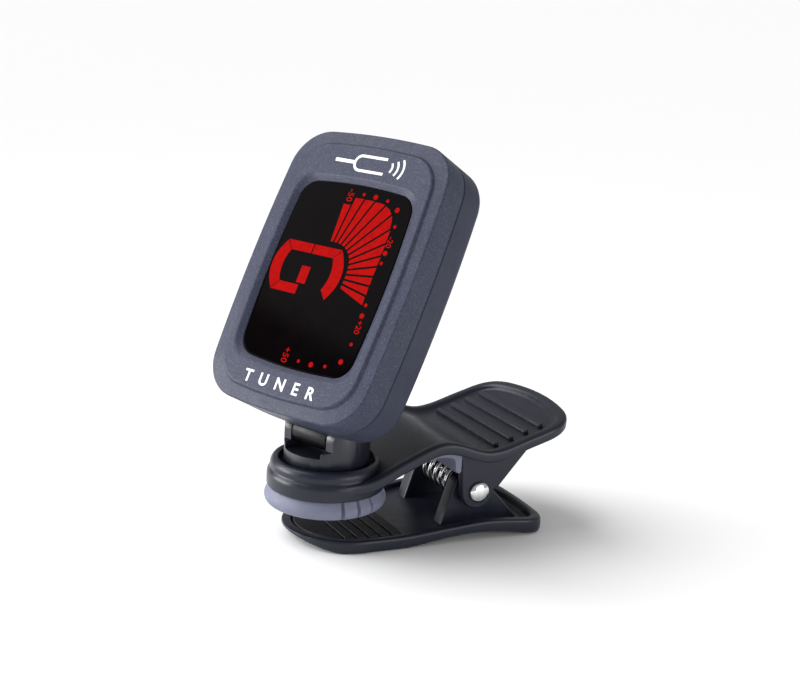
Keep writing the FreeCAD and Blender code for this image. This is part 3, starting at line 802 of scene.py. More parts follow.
JAW = Moulded(screen_colour(30, 33, 46), screen_colour(27, 30, 42), 0.34, grain_height=0.004, specular=0.34)
FINISHES = {
    "jaw_plastic": JAW,
    "turret_plastic": Moulded(screen_colour(30, 32, 43), screen_colour(27, 29, 39), 0.34, grain_height=0.004),
    "pad_rubber": Moulded(
        screen_colour(112, 115, 136), screen_colour(104, 107, 127), 0.6, grain=0.22, grain_height=0.008),
    "pad_rubber_dark": Moulded(
        screen_colour(26, 26, 31), screen_colour(20, 20, 25), 0.62, grain_height=0.008),
    "pin_chrome": BareMetal((0.86, 0.86, 0.87), 0.12, 0.0004),
    "retainer_steel": BareMetal((0.62, 0.62, 0.64), 0.3),
    "spring_steel": BareMetal((0.8, 0.8, 0.81), 0.16),
    "screw_steel": BareMetal((0.5, 0.5, 0.52), 0.32),
    "cell_steel": BareMetal((0.7, 0.7, 0.71), 0.25),
    "contact_nickel": BareMetal((0.66, 0.64, 0.6), 0.25),
    "piezo_brass": BareMetal((0.75, 0.58, 0.3), 0.35),
    "washer_nylon": Moulded(screen_colour(24, 24, 28), screen_colour(18, 18, 22), 0.45),
    "knuckle_plastic": Moulded(screen_colour(8, 8, 11), screen_colour(6, 6, 9), 0.4, 0.04, specular=0.2),
    "shell_paint": Moulded(
        screen_colour(56, 59, 77), screen_colour(52, 55, 72), 0.42, grain=0.2, grain_height=0.008, flake=0.13,
        flake_size=0.12, specular=0.16),
    "shell_plastic": Moulded(
        screen_colour(50, 53, 70), screen_colour(46, 49, 65), 0.46, grain=0.25, specular=0.2),
    "lens_plastic": DarkGlass((0.0012, 0.0008, 0.001), (0.002, 0.001, 0.0014)),
    "lcd_glass": DarkGlass((0.03, 0.01, 0.01), (0.04, 0.012, 0.012)),
    "diffuser": Moulded(screen_colour(226, 226, 222), screen_colour(216, 216, 212), 0.6),
    "zebra_rubber": Moulded(screen_colour(190, 120, 150), screen_colour(40, 40, 44), 0.6, mottle=0.5),
    "board_green": PrintedBoard(screen_colour(18, 74, 44), screen_colour(40, 112, 66)),
    "chip_epoxy": Moulded(screen_colour(22, 22, 24), screen_colour(28, 28, 30), 0.5),
    "switch_plastic": Moulded(screen_colour(40, 40, 42), screen_colour(32, 32, 34), 0.4),
    "display_red": LitInk(screen_colour(194, 20, 18), screen_colour(180, 15, 15)),
    "face_ink": Moulded(screen_colour(236, 236, 238), screen_colour(226, 226, 230), 0.5),
}


# ---- clip --------------------------------------------------------------------------
def slab(draft: Draft, loop: Sequence[Point2], profile: Sequence[Point2]) -> None:
    """A plate across X with softened faces.

    Args:
        draft: where it is drawn.
        loop: the plate's outline as (y, z) pairs, anticlockwise.
        profile: (inset, x) pairs from one face to the other.
    """
    draft.stack([[(x, y, z) for y, z in inset_loop(loop, inset)] for inset, x in profile])


def soften_loop(corners: Sequence[tuple[float, ...]], steps: int = 5) -> list[Point2]:
    """Round the corners of a closed outline."""
    return soften([corners[-1], *corners, corners[0]], steps)[1:-1]


def round_about(centre: Point2, radius: float, start: float, end: float, count: int) -> list[Point2]:
    """Points on an arc about a centre, between two angles in degrees."""
    angles = [math.radians(start + (end - start) * k / count) for k in range(count + 1)]
    return [(centre[0] + radius * math.cos(t), centre[1] + radius * math.sin(t)) for t in angles]


@dataclass
class Pivot:
    """Where the clip's jaws turn, read from their joint."""

    y: float = field(default_factory=lambda: joint("jaw_hinge")["pos_m"][1] / MM)
    z: float = field(default_factory=lambda: joint("jaw_hinge")["pos_m"][2] / MM)

    def turn(self, draft: Draft, profile: Sequence[Point2], side: float, count: int = 48) -> None:
        """A turned form about the pivot, from (radius, x) pairs, on one side of the clip."""
        draft.turn(profile, count, lambda a, b, x: (side * x, self.y + a, self.z + b))


@dataclass
class LowerJaw:
    """The tray below the instrument's headstock, with its pivot ears and rubber pad."""

    pivot: Pivot
    plan: Paddle = Paddle(12.2, 4.4, -8.0, 14.3, 27.0, 15.6, 42.6, 44.0, 4.5, 1.5)
    sole: tuple[Point2, ...] = (
        (-9.0, 2.4), (-5.0, 0.9), (-1.0, -0.1), (6.0, -0.3), (12.0, 0.0), (20.0, 1.1), (27.0, 1.7),
        (34.0, 1.1), (41.0, 0.0), (47.0, -0.4))
    brim: tuple[Point2, ...] = (
        (-9.0, 2.75), (-3.0, 2.7), (12.0, 2.7), (22.0, 3.6), (30.0, 4.1), (38.0, 3.5), (47.0, 2.8))
    depth: float = 2.6
    wall: float = 1.7
    floor: float = 1.3
    ear: tuple[float, float, float] = (6.2, 9.3, 9.9)
    ear_front: float = 21.2
    ear_rear: float = 39.4
    boss_radius: float = 3.2
    pad_inset: float = 2.2
    pad_rear: float = 12.0
    pad_base: float = 1.25
    pad_top: float = 2.7
    grooves: int = 5
    groove_pitch: float = 2.4
    groove_half: float = 0.45
    groove_depth: float = 0.6

    def underside(self, y: float) -> float:
        """The height of the sole at y, never below the plane it rests on."""
        return max(0.0, HeightCurve(self.sole).at(y))

    def height(self, y: float, level: float) -> float:
        """The height at y of a level between the sole and the brim."""
        low = self.underside(y)
        return low + (HeightCurve(self.brim).at(y) - low) * level / self.depth

    def draw_tray(self, draft: Draft) -> None:
        """Draw the tray with its rolled brim."""
        inner = self.wall + 2.0
        profile = soften([
            (inner, 0.0), (0.0, 0.0, 0.8), (0.0, self.depth, 0.6), (self.wall, self.depth, 0.5),
            (self.wall + 0.35, self.floor, 0.45), (inner, self.floor)])
        rings = [
            draft.ring((x, y, self.height(y, level)) for x, y in self.plan.loop(inset))
            for inset, level in profile]
        draft.skin(rings)
        draft.ladder(rings[0])
        draft.ladder(rings[-1])

    def draw_ear(self, draft: Draft, side: float) -> None:
        """Draw one ear: a tapering plate with a boss for the pin."""
        inner, outer, boss = self.ear
        front, rear = self.ear_front, self.ear_rear
        foot = [(y, self.underside(y) + 0.5 * self.floor) for y, _ in between((front, 0), (rear, 0), 12)]
        crown = [(rear, self.underside(rear) + self.floor), (31.9, 9.9, 1.0), (30.2, 12.0, 0.9),
                 (26.2, 12.3, 0.9), (24.4, 11.7, 0.8)]
        loop = soften_loop(foot + crown)
        slab(draft, loop, [(x, side * y) for x, y in soften([
            (0.4, inner), (0.0, inner, 0.3), (0.0, outer, 0.3), (0.4, outer)])])
        self.pivot.turn(draft, soften([
            (0.1, inner), (self.boss_radius, inner, 0.2), (self.boss_radius, boss, 0.3), (0.1, boss)]), side)

    def build(self, shop: Workshop) -> None:
        """Make the tray with its ears, and its pad."""
        draft = Draft()
        self.draw_tray(draft)
        for side in (1, -1):
            self.draw_ear(draft, side)
        jaw = as_object("jaw_tray", draft.mesh("jaw_tray"))
        shop.dress(jaw, "lower_jaw", "jaw_plastic", ["lower_jaw"])
        self.build_pad(shop)

    def build_pad(self, shop: Workshop) -> None:
        """Make the ribbed pad in the front of the tray."""
        edge = [p for p in self.plan.loop(self.pad_inset) if p[1] < self.pad_rear - 0.6]
        split = next(k for k in range(1, len(edge)) if edge[k][0] * edge[k - 1][0] < 0 and edge[k][1] > 0)
        half = edge[split - 1][0]
        rear = [(half, self.pad_rear, 0.6), (-half, self.pad_rear, 0.6)]
        loop = soften_loop(edge[:split] + rear + edge[split:])
        draft = Draft()
        profile = soften([(0.0, self.pad_base), (0.0, self.pad_top, 0.45), (0.5, self.pad_top)])
        draft.stack([[(x, y, z) for x, y in inset_loop(loop, inset)] for inset, z in profile])
        pad = as_object("tray_pad", draft.mesh("tray_pad"))
        groove = Draft()
        half, clear, reach = self.groove_half, self.pad_top + 0.2, self.plan.tail_half + 4.4
        for k in range(self.grooves):
            y = self.pad_rear - self.groove_pitch * (k + 1)
            corners = [(y - half, clear), (y, self.pad_top - self.groove_depth), (y + half, clear)]
            groove.stack([[(x, b, c) for b, c in corners] for x in (-reach, reach)])
        carve(pad, groove)
        shop.dress(pad, "lower_jaw", "pad_rubber_dark", ["lower_jaw_pad"])


@dataclass
class UpperJaw:
    """The front disc with its collar, the finger lever, the bumper and the lever's liner."""

    pivot: Pivot
    plan: Paddle = Paddle(11.6, 1.0, -10.6, 15.9, 27.0, 15.9, 46.4, 49.4, 5.0, 4.0)
    ridge: tuple[Point2, ...] = (
        (-12.0, 14.0), (-2.0, 14.1), (4.0, 14.7), (11.0, 18.3), (18.3, 21.4), (28.5, 19.2), (38.0, 21.4),
        (52.0, 25.7))
    thickness: float = 2.4
    dish: float = 0.9
    rim: float = 2.0
    bore: float = 3.7
    skirt: tuple[Point2, ...] = ((10.6, 12.0), (10.6, 10.8))
    disc_radius: float = 11.6
    disc_top: float = 14.3
    collar: tuple[float, float, float, float] = (9.4, 11.0, 10.3, 16.5)
    ear: tuple[float, float] = (10.2, 12.0)
    ear_span: tuple[float, float] = (23.4, 42.9)
    ear_radius: float = 3.6
    ribs: int = 4
    rib_first: float = 31.5
    rib_pitch: float = 3.4
    rib_half: float = 11.5
    rib_width: float = 1.1
    pad: tuple[float, float, float, float, float] = (6.9, 10.2, 12.1, 11.0, 10.75)
    grooves: int = 5
    groove_first: float = -8.0
    groove_step: float = 16.5
    liner_front: float = 9.0
    liner_rear: float = 23.0
    liner_thickness: float = 1.3
    lip_drop: float = 4.0

    def __post_init__(self) -> None:
        """Prepare the lever's side curve."""
        self.lever = HeightCurve(self.ridge)

    def lever_plate(self) -> bpy.types.Object:
        """Make the dished lever, open where the collar stands.

        Returns:
            The lever on its own.
        """
        inner = self.rim + 1.6
        profile = soften([
            (inner, -self.thickness), (0.0, -self.thickness, 0.6), (0.0, 0.0, 0.8),
            (self.rim - 0.2, 0.0, 0.5),
            (self.rim + 0.3, -self.dish, 0.45), (inner, -self.dish)])
        draft = Draft()
        rings = [
            draft.ring((x, y, self.lever.at(y) + rise) for x, y in self.plan.loop(inset))
            for inset, rise in profile]
        draft.skin(rings)
        draft.ladder(rings[0])
        draft.ladder(rings[-1])
        plate = as_object("finger_lever", draft.mesh("finger_lever"))
        well = Draft()
        radius, above = self.collar[0], 40.0
        well.turn([(radius, self.disc_top), (radius, above)], 96, lambda a, b, z: (a, b, z))
        carve(plate, well)
        return plate

    def draw_disc(self, draft: Draft) -> None:
        """Draw the disc and the stepped collar round the turret's foot."""
        inner, step, crown, top = self.collar
        profile = soften([
            (self.bore, self.skirt[0][1]), *self.skirt, (self.disc_radius, self.skirt[-1][1], 0.4),
            (self.disc_radius, self.disc_top - 0.7, 0.7),
            (step, self.disc_top, 0.3), (step, top - 0.9, 0.6), (crown, top, 0.45), (inner + 0.4, top, 0.2),
            (inner, top - 0.4, 0.2), (inner, self.disc_top), (self.bore, self.disc_top)], 5)
        steps = [2 * math.pi * k / 144 for k in range(144)]
        rings = [draft.ring((r * math.cos(t), r * math.sin(t), z) for t in steps) for r, z in profile]
        draft.skin([*rings, rings[0]])

    def draw_ear(self, draft: Draft, side: float) -> None:
        """Draw one ear: a plate that narrows to a round about the pin."""
        inner, outer = self.ear
        y, z = self.pivot.y, self.pivot.z
        round_end = round_about((y, z), self.ear_radius, 180, 360, 20)
        front, rear = self.ear_span
        top = [(b, self.lever.at(b) - self.thickness / 2) for b, _ in between((rear, 0), (front, 0), 12)]
        foot = (front, self.lever.at(front) - self.thickness / 2)
        loop = round_end + [(y + 4.6, z + 0.4, 0.4)] + top + [foot]
        slab(draft, soften_loop(loop), [(x, side * w) for x, w in soften([
            (0.5, inner), (0.0, inner, 0.3), (0.0, outer, 0.4), (0.5, outer)])])

    def draw_rib(self, draft: Draft, y: float) -> None:
        """Draw one grip rib across the lever."""
        half, width, height = self.rib_half, self.rib_width, self.dish - 0.1
        ends = round_about((half, 0.0), width / 2, -90, 90, 8)
        ends += round_about((-half, 0.0), width / 2, 90, 270, 8)
        crest = -self.dish + height
        profile = soften([(0.0, -self.dish - 0.3), (0.0, crest, 0.4), (0.45, crest)])
        draft.stack([
            [(a, y + b, self.lever.at(y + b) + rise) for a, b in inset_loop(ends, inset)]
            for inset, rise in profile])

    def build(self, shop: Workshop) -> None:
        """Make the jaw with its lever, then the bumper and the liner."""
        jaw = self.lever_plate()
        draft = Draft()
        self.draw_disc(draft)
        for side in (1, -1):
            self.draw_ear(draft, side)
        for k in range(self.ribs):
            self.draw_rib(draft, self.rib_first + k * self.rib_pitch)
        join(jaw, [draft.mesh("lever_details")])
        shop.dress(jaw, "upper_jaw", "jaw_plastic", ["upper_jaw"])
        self.build_pad(shop)
        self.build_liner(shop)

    def groove_depth(self, angle: float) -> float:
        """How deep the bumper's side is cut at an angle, from 0 to 1."""
        mirrored = 180 - angle if abs(angle) > 90 else angle
        mirrored = (mirrored + 180) % 360 - 180
        nearest = min(abs(mirrored - self.groove_first - k * self.groove_step) for k in range(self.grooves))
        return max(0.0, 1.0 - (nearest / 1.7) ** 2)

    def build_pad(self, shop: Workshop) -> None:
        """Make the bulging rubber bumper, cut by grooves down both sides."""
        foot_z, foot, bulge, neck, top = self.pad
        middle = 0.5 * (foot_z + top)
        side = [(foot, foot_z, 0.9), (bulge - 0.35, middle - 1.3, 0.6), (bulge, middle, 0.8), (neck, top)]
        profile = soften([(1.0, foot_z), *side, (neck - 0.9, top)], 6)
        draft = Draft()
        count = 720
        rings = []
        for radius, z in profile:
            ring = []
            for k in range(count):
                angle = 360.0 * k / count - 180.0
                cut = min(0.8, max(0.0, radius - (bulge - 1.5))) * self.groove_depth(angle)
                t = math.radians(angle)
                ring.append(((radius - cut) * math.cos(t), (radius - cut) * math.sin(t), z))
            rings.append(ring)
        draft.stack(rings)
        pad = as_object("jaw_bumper", draft.mesh("jaw_bumper"))
        shop.dress(pad, "upper_jaw", "pad_rubber", ["upper_jaw_pad"], 50.0)

    def build_liner(self, shop: Workshop) -> None:
        """Make the rubber sheet under the lever, with its lip."""
        front, rear, sheet, lip = self.liner_front + 3.4, self.liner_rear, self.liner_thickness, self.lip_drop
        drops = [(y, sheet) for y, _ in between((front, 0), (rear - 1.9, 0), 18)]
        drops += [(rear - 1.6, sheet + 0.1), (rear - 1.35, sheet + 0.5), (rear - 1.2, sheet + 1.2)]
        drops += [(rear - 1.15, lip - 0.4), (rear - 0.95, lip), (rear - 0.3, lip), (rear, lip - 0.35)]
        draft = Draft()
        sections = []
        for y, drop in drops:
            half, top = self.plan.half_width(y) - 2.2, self.lever.at(y) - self.thickness
            corners = [(-half, top), (half, top), (half, top - drop, 0.4), (-half, top - drop, 0.4)]
            sections.append([(x, y, z) for x, z in soften_loop(corners)])
        draft.stack(sections)
        liner = as_object("lever_lining", draft.mesh("lever_lining"))
        shop.dress(liner, "upper_jaw", "pad_rubber", ["lever_liner"])


@dataclass
class PivotPin:
    """The rivet through the ears and the spring wound round it."""

    pivot: Pivot
    radius: float = 1.3
    head_radius: float = 2.15
    head_height: float = 1.1
    seat: float = 12.1
    tail: float = 13.2
    coil_radius: float = 3.2
    wire: float = 0.45
    turns: float = 4.5
    pitch: float = 2.2
    leg: float = 9.0
    upper_rise: float = 4.6
    lower_drop: float = 3.3

    def build(self, shop: Workshop) -> None:
        """Make the rivet and the spring."""
        dome = [
            (self.head_radius * math.cos(t), self.seat + self.head_height * (0.25 + 0.75 * math.sin(t)))
            for t in (math.pi / 2 * k / 10 for k in range(10))]
        profile = soften([
            (0.1, -self.tail), (self.radius, -self.tail, 0.2), (self.radius, self.seat, 0.1),
            (self.head_radius, self.seat, 0.1), dome[0]])[:-1] + dome
        draft = Draft()
        self.pivot.turn(draft, profile, 1, 64)
        pin = as_object("hinge_rivet", draft.mesh("hinge_rivet"))
        shop.dress(pin, "lower_jaw", "pin_chrome", ["pivot_pin"], 40.0)
        self.build_spring(shop)

    def build_spring(self, shop: Workshop) -> None:
        """Make the torsion spring, twisting from the lower jaw to the upper."""
        half = self.turns * self.pitch / 2
        steps = int(self.turns * 28)
        coil = []
        for k in range(steps + 1):
            t = 2 * math.pi * self.turns * k / steps
            coil.append((
                2 * half * k / steps - half, self.pivot.y - self.coil_radius * math.sin(t),
                self.pivot.z - self.coil_radius * math.cos(t)))
        start, end = coil[0], coil[-1]
        rear = self.pivot.y + self.leg
        lower = [(start[0], y, z) for y, z in between((rear, start[2] - self.lower_drop), start[1:], 8)]
        upper = [(end[0], y, z) for y, z in between((rear, end[2] + self.upper_rise), end[1:], 8)]
        draft = Draft(lambda x, y, z: Vector((x, y, z)) * MM)
        draft.tube([Vector(p) for p in lower + coil + upper[::-1]], self.wire)
        spring = as_object("clip_spring", draft.mesh("clip_spring"))
        shop.dress(spring, "", "spring_steel", ["torsion_spring"], 60.0)
        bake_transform(spring)


# ---- head --------------------------------------------------------------------------
@dataclass
class HeadCase:
    """The head's two shells, its battery door and the lens over the display."""

    axes: HeadAxes
    outline: BowedFrame = BowedFrame(20.1, 0.0, 56.4, 1.1, 8.2)
    window: BowedFrame = BowedFrame(14.6, 8.7, 46.1, 0.9, 4.0)
    rear: float = 1.0
    rear_edge: tuple[float, float] = (2.2, 2.8)
    scoop: tuple[float, float] = (3.2, 8.8)
    parting: float = 9.05
    groove: float = 0.25
    side_top: float = 14.8
    border: tuple[float, float] = (2.5, 15.0)
    plate_inset: float = 2.85
    face: float = 15.5
    wall: float = 1.6
    rear_wall: float = 4.3
    window_slope: float = 1.2
    lens_front: float = 14.7
    lens_back: float = 13.3
    door_half: float = 10.6
    door_low: float = 18.0
    gap: float = 0.12
    screw_recess: float = 1.9
    grips: int = 6
    grip_first: float = 41.0
    grip_pitch: float = 1.8
    grip_half: float = 7.0
    grip_depth: float = 0.35
    screw_spots: tuple[Point2, ...] = ((15.3, 5.8), (15.3, 50.2), (-15.3, 5.8), (-15.3, 50.2))

    def rings(self, frame_line: BowedFrame, profile: Iterable[Point2]) -> list[list[Point3]]:
        """Outlines of a frame line, each at its own inset and distance out."""
        return [[(u, v, out) for u, v in frame_line.loop(inset)] for inset, out in profile]

    def build(self, shop: Workshop) -> None:
        """Make both shells, the door and the lens."""
        self.build_front(shop)
        self.build_rear(shop)
        self.build_lens(shop)

    def build_front(self, shop: Workshop) -> None:
        """Make the front shell, from the parting line over the face and into the window."""
        outer = soften([
            (self.wall, self.face - 1.5), (self.wall, self.parting), (self.groove, self.parting),
            (0.0, self.parting + self.groove), (0.0, self.side_top, 0.4), (*self.border, 0.12),
            (self.plate_inset, self.face, 0.3), (self.plate_inset + 0.35, self.face)], 6)
        inner = soften([
            (-self.window_slope - 0.4, self.face), (-self.window_slope, self.face, 0.3),
            (0.0, self.lens_front, 0.12), (0.0, self.lens_back), (-1.5, self.lens_back)], 5)
        draft = Draft(self.axes.point)
        rings = self.rings(self.outline, outer) + self.rings(self.window, inner)
        numbers = [draft.ring(points) for points in rings]
        draft.skin([*numbers, numbers[0]])
        shell = as_object("case_front", draft.mesh("case_front"))
        shop.dress(shell, "head", "shell_paint", ["front_shell"], 40.0)

    def rear_form(self, hollow: bool) -> Draft:
        """Draw the rear shell's outer form.

        Args:
            hollow: whether the inside is left out, as in the shell itself.

        Returns:
            The closed form.
        """
        inset, edge = self.rear_edge
        outer = soften([
            (self.wall, self.parting), (self.groove, self.parting), (0.0, self.parting - self.groove),
            (0.0, edge, 1.0), (inset, self.rear, 1.0), (inset + 2.0, self.rear)], 6)
        start = [(self.wall + 1.0, self.rear_wall), (self.wall, self.rear_wall)] if hollow else []
        draft = Draft(self.axes.point)
        draft.stack(self.rings(self.outline, start + outer))
        return draft

    def block(self, half: float, low: float, high: float, near: float, far: float) -> Draft:
        """A box in the head's axes: across, from low to high, between two distances out."""
        draft = Draft(self.axes.point)
        corners = ((-half, low), (half, low), (half, high), (-half, high))
        draft.stack([[(u, v, out) for u, v in corners] for out in (near, far)])
        return draft

    def build_rear(self, shop: Workshop) -> None:
        """Make the rear shell with its door channel and screw recesses, and the door."""
        top = self.outline.high + 5.0
        shell = as_object("case_rear", self.rear_form(True).mesh("case_rear"))
        hollow = Draft(self.axes.point)
        radius, reach = self.scoop
        hollow.turn([(radius, -reach), (radius, reach)], 63, lambda a, b, h: (h, a, b))
        carve(shell, hollow)
        half, low = self.door_half + self.gap, self.door_low - self.gap
        carve(shell, self.block(half, low, top, 0.0, self.rear_wall + 0.2))
        for u, v in self.screw_spots:
            recess = Draft(self.axes.point)
            wall = [(self.screw_recess, 0.0), (self.screw_recess, self.rear_wall)]
            recess.turn(wall, 40, lambda a, b, h, u=u, v=v: (u + a, v + b, h))
            carve(shell, recess)
        round_edges(shell, 0.14, 40.0, 2)
        shop.dress(shell, "head", "shell_plastic", ["rear_shell"], 30.0)
        door = as_object("case_door", self.rear_form(False).mesh("case_door"))
        carve(door, self.block(self.door_half, self.door_low, top, 0.0, self.rear_wall - 0.1), Cut.KEEP)
        half, radius = self.grip_half, self.grip_depth
        for k in range(self.grips):
            grip = Draft(self.axes.point)
            v = self.grip_first + self.grip_pitch * k
            ends = round_about((half, v), radius, -90, 90, 6) + round_about((-half, v), radius, 90, 270, 6)
            grip.stack([[(a, b, out) for a, b in ends] for out in (0.0, self.rear + self.grip_depth)])
            carve(door, grip)
        round_edges(door, 0.14, 40.0, 2)
        shop.dress(door, "battery_door", "shell_plastic", ["battery_door"], 30.0)

    def build_lens(self, shop: Workshop) -> None:
        """Make the dark window."""
        draft = Draft(self.axes.point)
        profile = soften([(0.05, self.lens_back), (0.05, self.lens_front, 0.2), (0.6, self.lens_front)])
        draft.stack(self.rings(self.window, profile))
        lens = as_object("window_lens", draft.mesh("window_lens"))
        shop.dress(lens, "head", "lens_plastic", ["display_lens"])


class Lettering:
    """Flat letters, numbers and lines standing a hair above a surface of the head."""

    def __init__(self, axes: HeadAxes, surface: float, lift: float = 0.03) -> None:
        """Keep the surface's distance out and how far the marks stand above it."""
        self.draft = Draft(axes.point)
        self.low = surface - 0.02
        self.high = surface + lift

    def patch(self, outline: Sequence[Point2]) -> None:
        """Add a flat mark with this outline."""
        self.draft.stack([[(u, v, out) for u, v in outline] for out in (self.low, self.high)])

    def dot(self, centre: Point2, radius: float) -> None:
        """Add a round mark."""
        self.patch(round_about(centre, radius, 0, 360, 24)[:-1])

    def line(self, path: Sequence[Point2], width: float) -> None:
        """Add a line of even width along a path."""
        sides = []
        last = len(path) - 1
        for k, here in enumerate(path):
            along = (Vector(path[min(k + 1, last)]) - Vector(path[max(k - 1, 0)])).normalized()
            across = Vector((-along.y, along.x)) * width / 2
            sides.append((Vector(here) + across, Vector(here) - across))
        rings = [
            [(*left, self.low), (*right, self.low), (*right, self.high), (*left, self.high)]
            for left, right in sides]
        self.draft.stack(rings)

    def words(self, text: str, centre: Point2, size: float, downward: bool, spacing: float = 1.0,
              weight: float = 0.0) -> None:
        """Add letters or numbers.

        Args:
            text: what they say.
            centre: the middle of the line.
            size: the height of the letters' line.
            downward: whether they read down the face instead of across it.
            spacing: the room between letters, 1 being normal.
            weight: how much each letter is thickened.
        """
        curve = bpy.data.curves.new("letters", "FONT")
        curve.body = text
        curve.size = size
        curve.space_character = spacing
        curve.align_x = "CENTER"
        curve.align_y = "CENTER"
        curve.offset = weight
        curve.resolution_u = 4
        curve.extrude = (self.high - self.low) / 2
        holder = as_object("letters", curve)
        bpy.context.view_layer.update()
        shaped = holder.evaluated_get(bpy.context.evaluated_depsgraph_get())
        mesh = bpy.data.meshes.new_from_object(shaped)
        first = len(self.draft.points)
        middle = (self.low + self.high) / 2
        for vertex in mesh.vertices:
            x, y, z = vertex.co
            u, v = (centre[0] + y, centre[1] - x) if downward else (centre[0] + x, centre[1] + y)
            self.draft.ring([(u, v, middle + z)])
        for polygon in mesh.polygons:
            self.draft.faces.append(tuple(first + k for k in polygon.vertices))
        bpy.data.objects.remove(holder)
        bpy.data.meshes.remove(mesh)

    def build(self, shop: Workshop, name: str, slot: str, finish: str) -> None:
        """Make all the marks one piece on the head.

        Args:
            shop: where the piece is finished.
            name: the piece's name.
            slot: the record's slot that it belongs to.
            finish: the name of its own finish.
        """
        marks = as_object(name, self.draft.mesh(name))
        shop.dress(marks, "head", slot, [])
        marks.data.materials[0] = shop.finishes[finish]


@dataclass
class Display:
    """What the display shows: a note letter, a fan of bars and the dial round it."""

    axes: HeadAxes
    surface: float
    fan_centre: Point2 = (-1.95, 27.7)
    fan_first: float = 93.0
    fan_step: float = 8.58
    fan_bars: int = 13
    fan_gap: float = 0.42
    fan_inner: float = 6.5
    fan_half: float = 12.7
    fan_height: float = 15.8
    letter_middle: float = 27.8
    letter_outer: float = 5.15
    letter_inner: float = 3.25
    letter_left: float = -12.15
    letter_right: float = 1.6
    letter_split: float = -5.5
    letter_slant: float = 1.6
    letter_gap: float = 0.15
    tongue: tuple[float, float, float, float] = (-1.0, 1.2, -2.85, 0.6)
    dots: tuple[tuple[float, float, float], ...] = (
        (1.45, 44.4, 0.35), (4.4, 44.3, 0.52), (7.45, 44.0, 0.35), (10.4, 42.6, 0.52), (11.3, 39.4, 0.35),
        (11.45, 34.1, 0.5), (11.45, 32.1, 0.35), (11.65, 23.8, 0.35), (11.7, 21.7, 0.52), (11.8, 16.1, 0.35),
        (11.0, 12.5, 0.52), (7.9, 10.9, 0.35), (4.6, 10.5, 0.52), (1.45, 10.5, 0.35))
    labels: tuple[tuple[str, float, float, float], ...] = (
        ("-50", -1.7, 43.8, 2.0), ("-20", 11.45, 36.3, 1.7),
        ("+20", 11.85, 19.5, 1.7), ("+50", -2.1, 11.0, 2.0))

    def reach(self, angle: float, half: float, height: float, power: float) -> float:
        """The distance from the middle to a rounded four-sided line, at an angle in radians."""
        across, along = abs(math.cos(angle)) / half, abs(math.sin(angle)) / height
        return (across ** power + along ** power) ** (-1 / power)

    def fan_bar(self, k: int) -> list[Point2]:
        """The outline of one bar of the fan."""
        start = math.radians(self.fan_first - k * self.fan_step)
        end = math.radians(self.fan_first - (k + 1) * self.fan_step)
        shorten = 0.9 if k == 0 else 1.0
        edges = []
        for angle, side in ((start, -1), (end, 1)):
            across = (math.sin(angle) * side * self.fan_gap / 2, -math.cos(angle) * side * self.fan_gap / 2)
            inner = self.reach(angle, self.fan_inner, self.fan_inner, 2.6)
            outer = self.reach(angle, self.fan_half, self.fan_height, 6.0) * shorten
            edges.append([
                (self.fan_centre[0] - across[0] + d * math.cos(angle),
                 self.fan_centre[1] - across[1] + d * math.sin(angle)) for d in (inner, outer)])
        middle = (start + end) / 2
        crown = self.reach(middle, self.fan_half, self.fan_height, 6.0) * shorten
        tip = (self.fan_centre[0] + crown * math.cos(middle), self.fan_centre[1] + crown * math.sin(middle))
        return [edges[0][0], edges[0][1], tip, edges[1][1], edges[1][0]][::-1]

    def letter(self) -> list[list[Point2]]:
        """The outlines of the note letter's six bars, lying on its side."""
        mid, outer, inner = self.letter_middle, self.letter_outer, self.letter_inner
        left, right, split = self.letter_left, self.letter_right, self.letter_split
        slant, gap = self.letter_slant, self.letter_gap
        top_bars = [
            [(left, mid + outer), (left + slant, mid + inner), (split - gap, mid + inner),
             (split - gap, mid + outer)],
            [(split + gap, mid + outer), (split + gap, mid + inner), (right - slant, mid + inner),
             (right, mid + outer)]]
        foot = [
            (left, mid - outer), (split - gap, mid - outer), (split - gap, mid - inner),
            (left + slant, mid - inner)]
        near, far, low, high = self.tongue
        corners = ((near, low), (far, low), (far, high), (near, high))
        tongue = [(split + u, mid + v) for u, v in corners]
        bows = [self.bowed_bar(left - 0.1, -1, slant), self.bowed_bar(right + 0.1, 1, slant)]
        return [*top_bars, foot, tongue, *bows]

    def bowed_bar(self, edge: float, side: int, slant: float) -> list[Point2]:
        """The outline of a bar that bows away from the letter's middle.

        Args:
            edge: where its outer corners are, across the face.
            side: 1 when it bows to the right and -1 to the left.
            slant: how far in its inner corners are.

        Returns:
            The outline.
        """
        steps = [2 * k / 10 - 1 for k in range(11)]
        outer, inner = self.letter_outer - 0.2, self.letter_inner - 0.05
        middle, root = self.letter_middle, edge - side * slant
        far = [(edge + side * 1.9 * (1 - s * s), middle + outer * s) for s in steps]
        near = [(root + side * 0.8 * (1 - s * s), middle + inner * s) for s in steps]
        return far + near[::-1]

    def build(self, shop: Workshop) -> None:
        """Make the lit marks."""
        marks = Lettering(self.axes, self.surface)
        for k in range(self.fan_bars):
            marks.patch(self.fan_bar(k))
        for outline in self.letter():
            marks.patch(outline)
        for u, v, radius in self.dots:
            marks.dot((u, v), radius)
        for text, u, v, size in self.labels:
            marks.words(text, (u, v), size, downward=True, weight=0.02)
        marks.build(shop, "display_marks", "lcd_glass", "display_red")


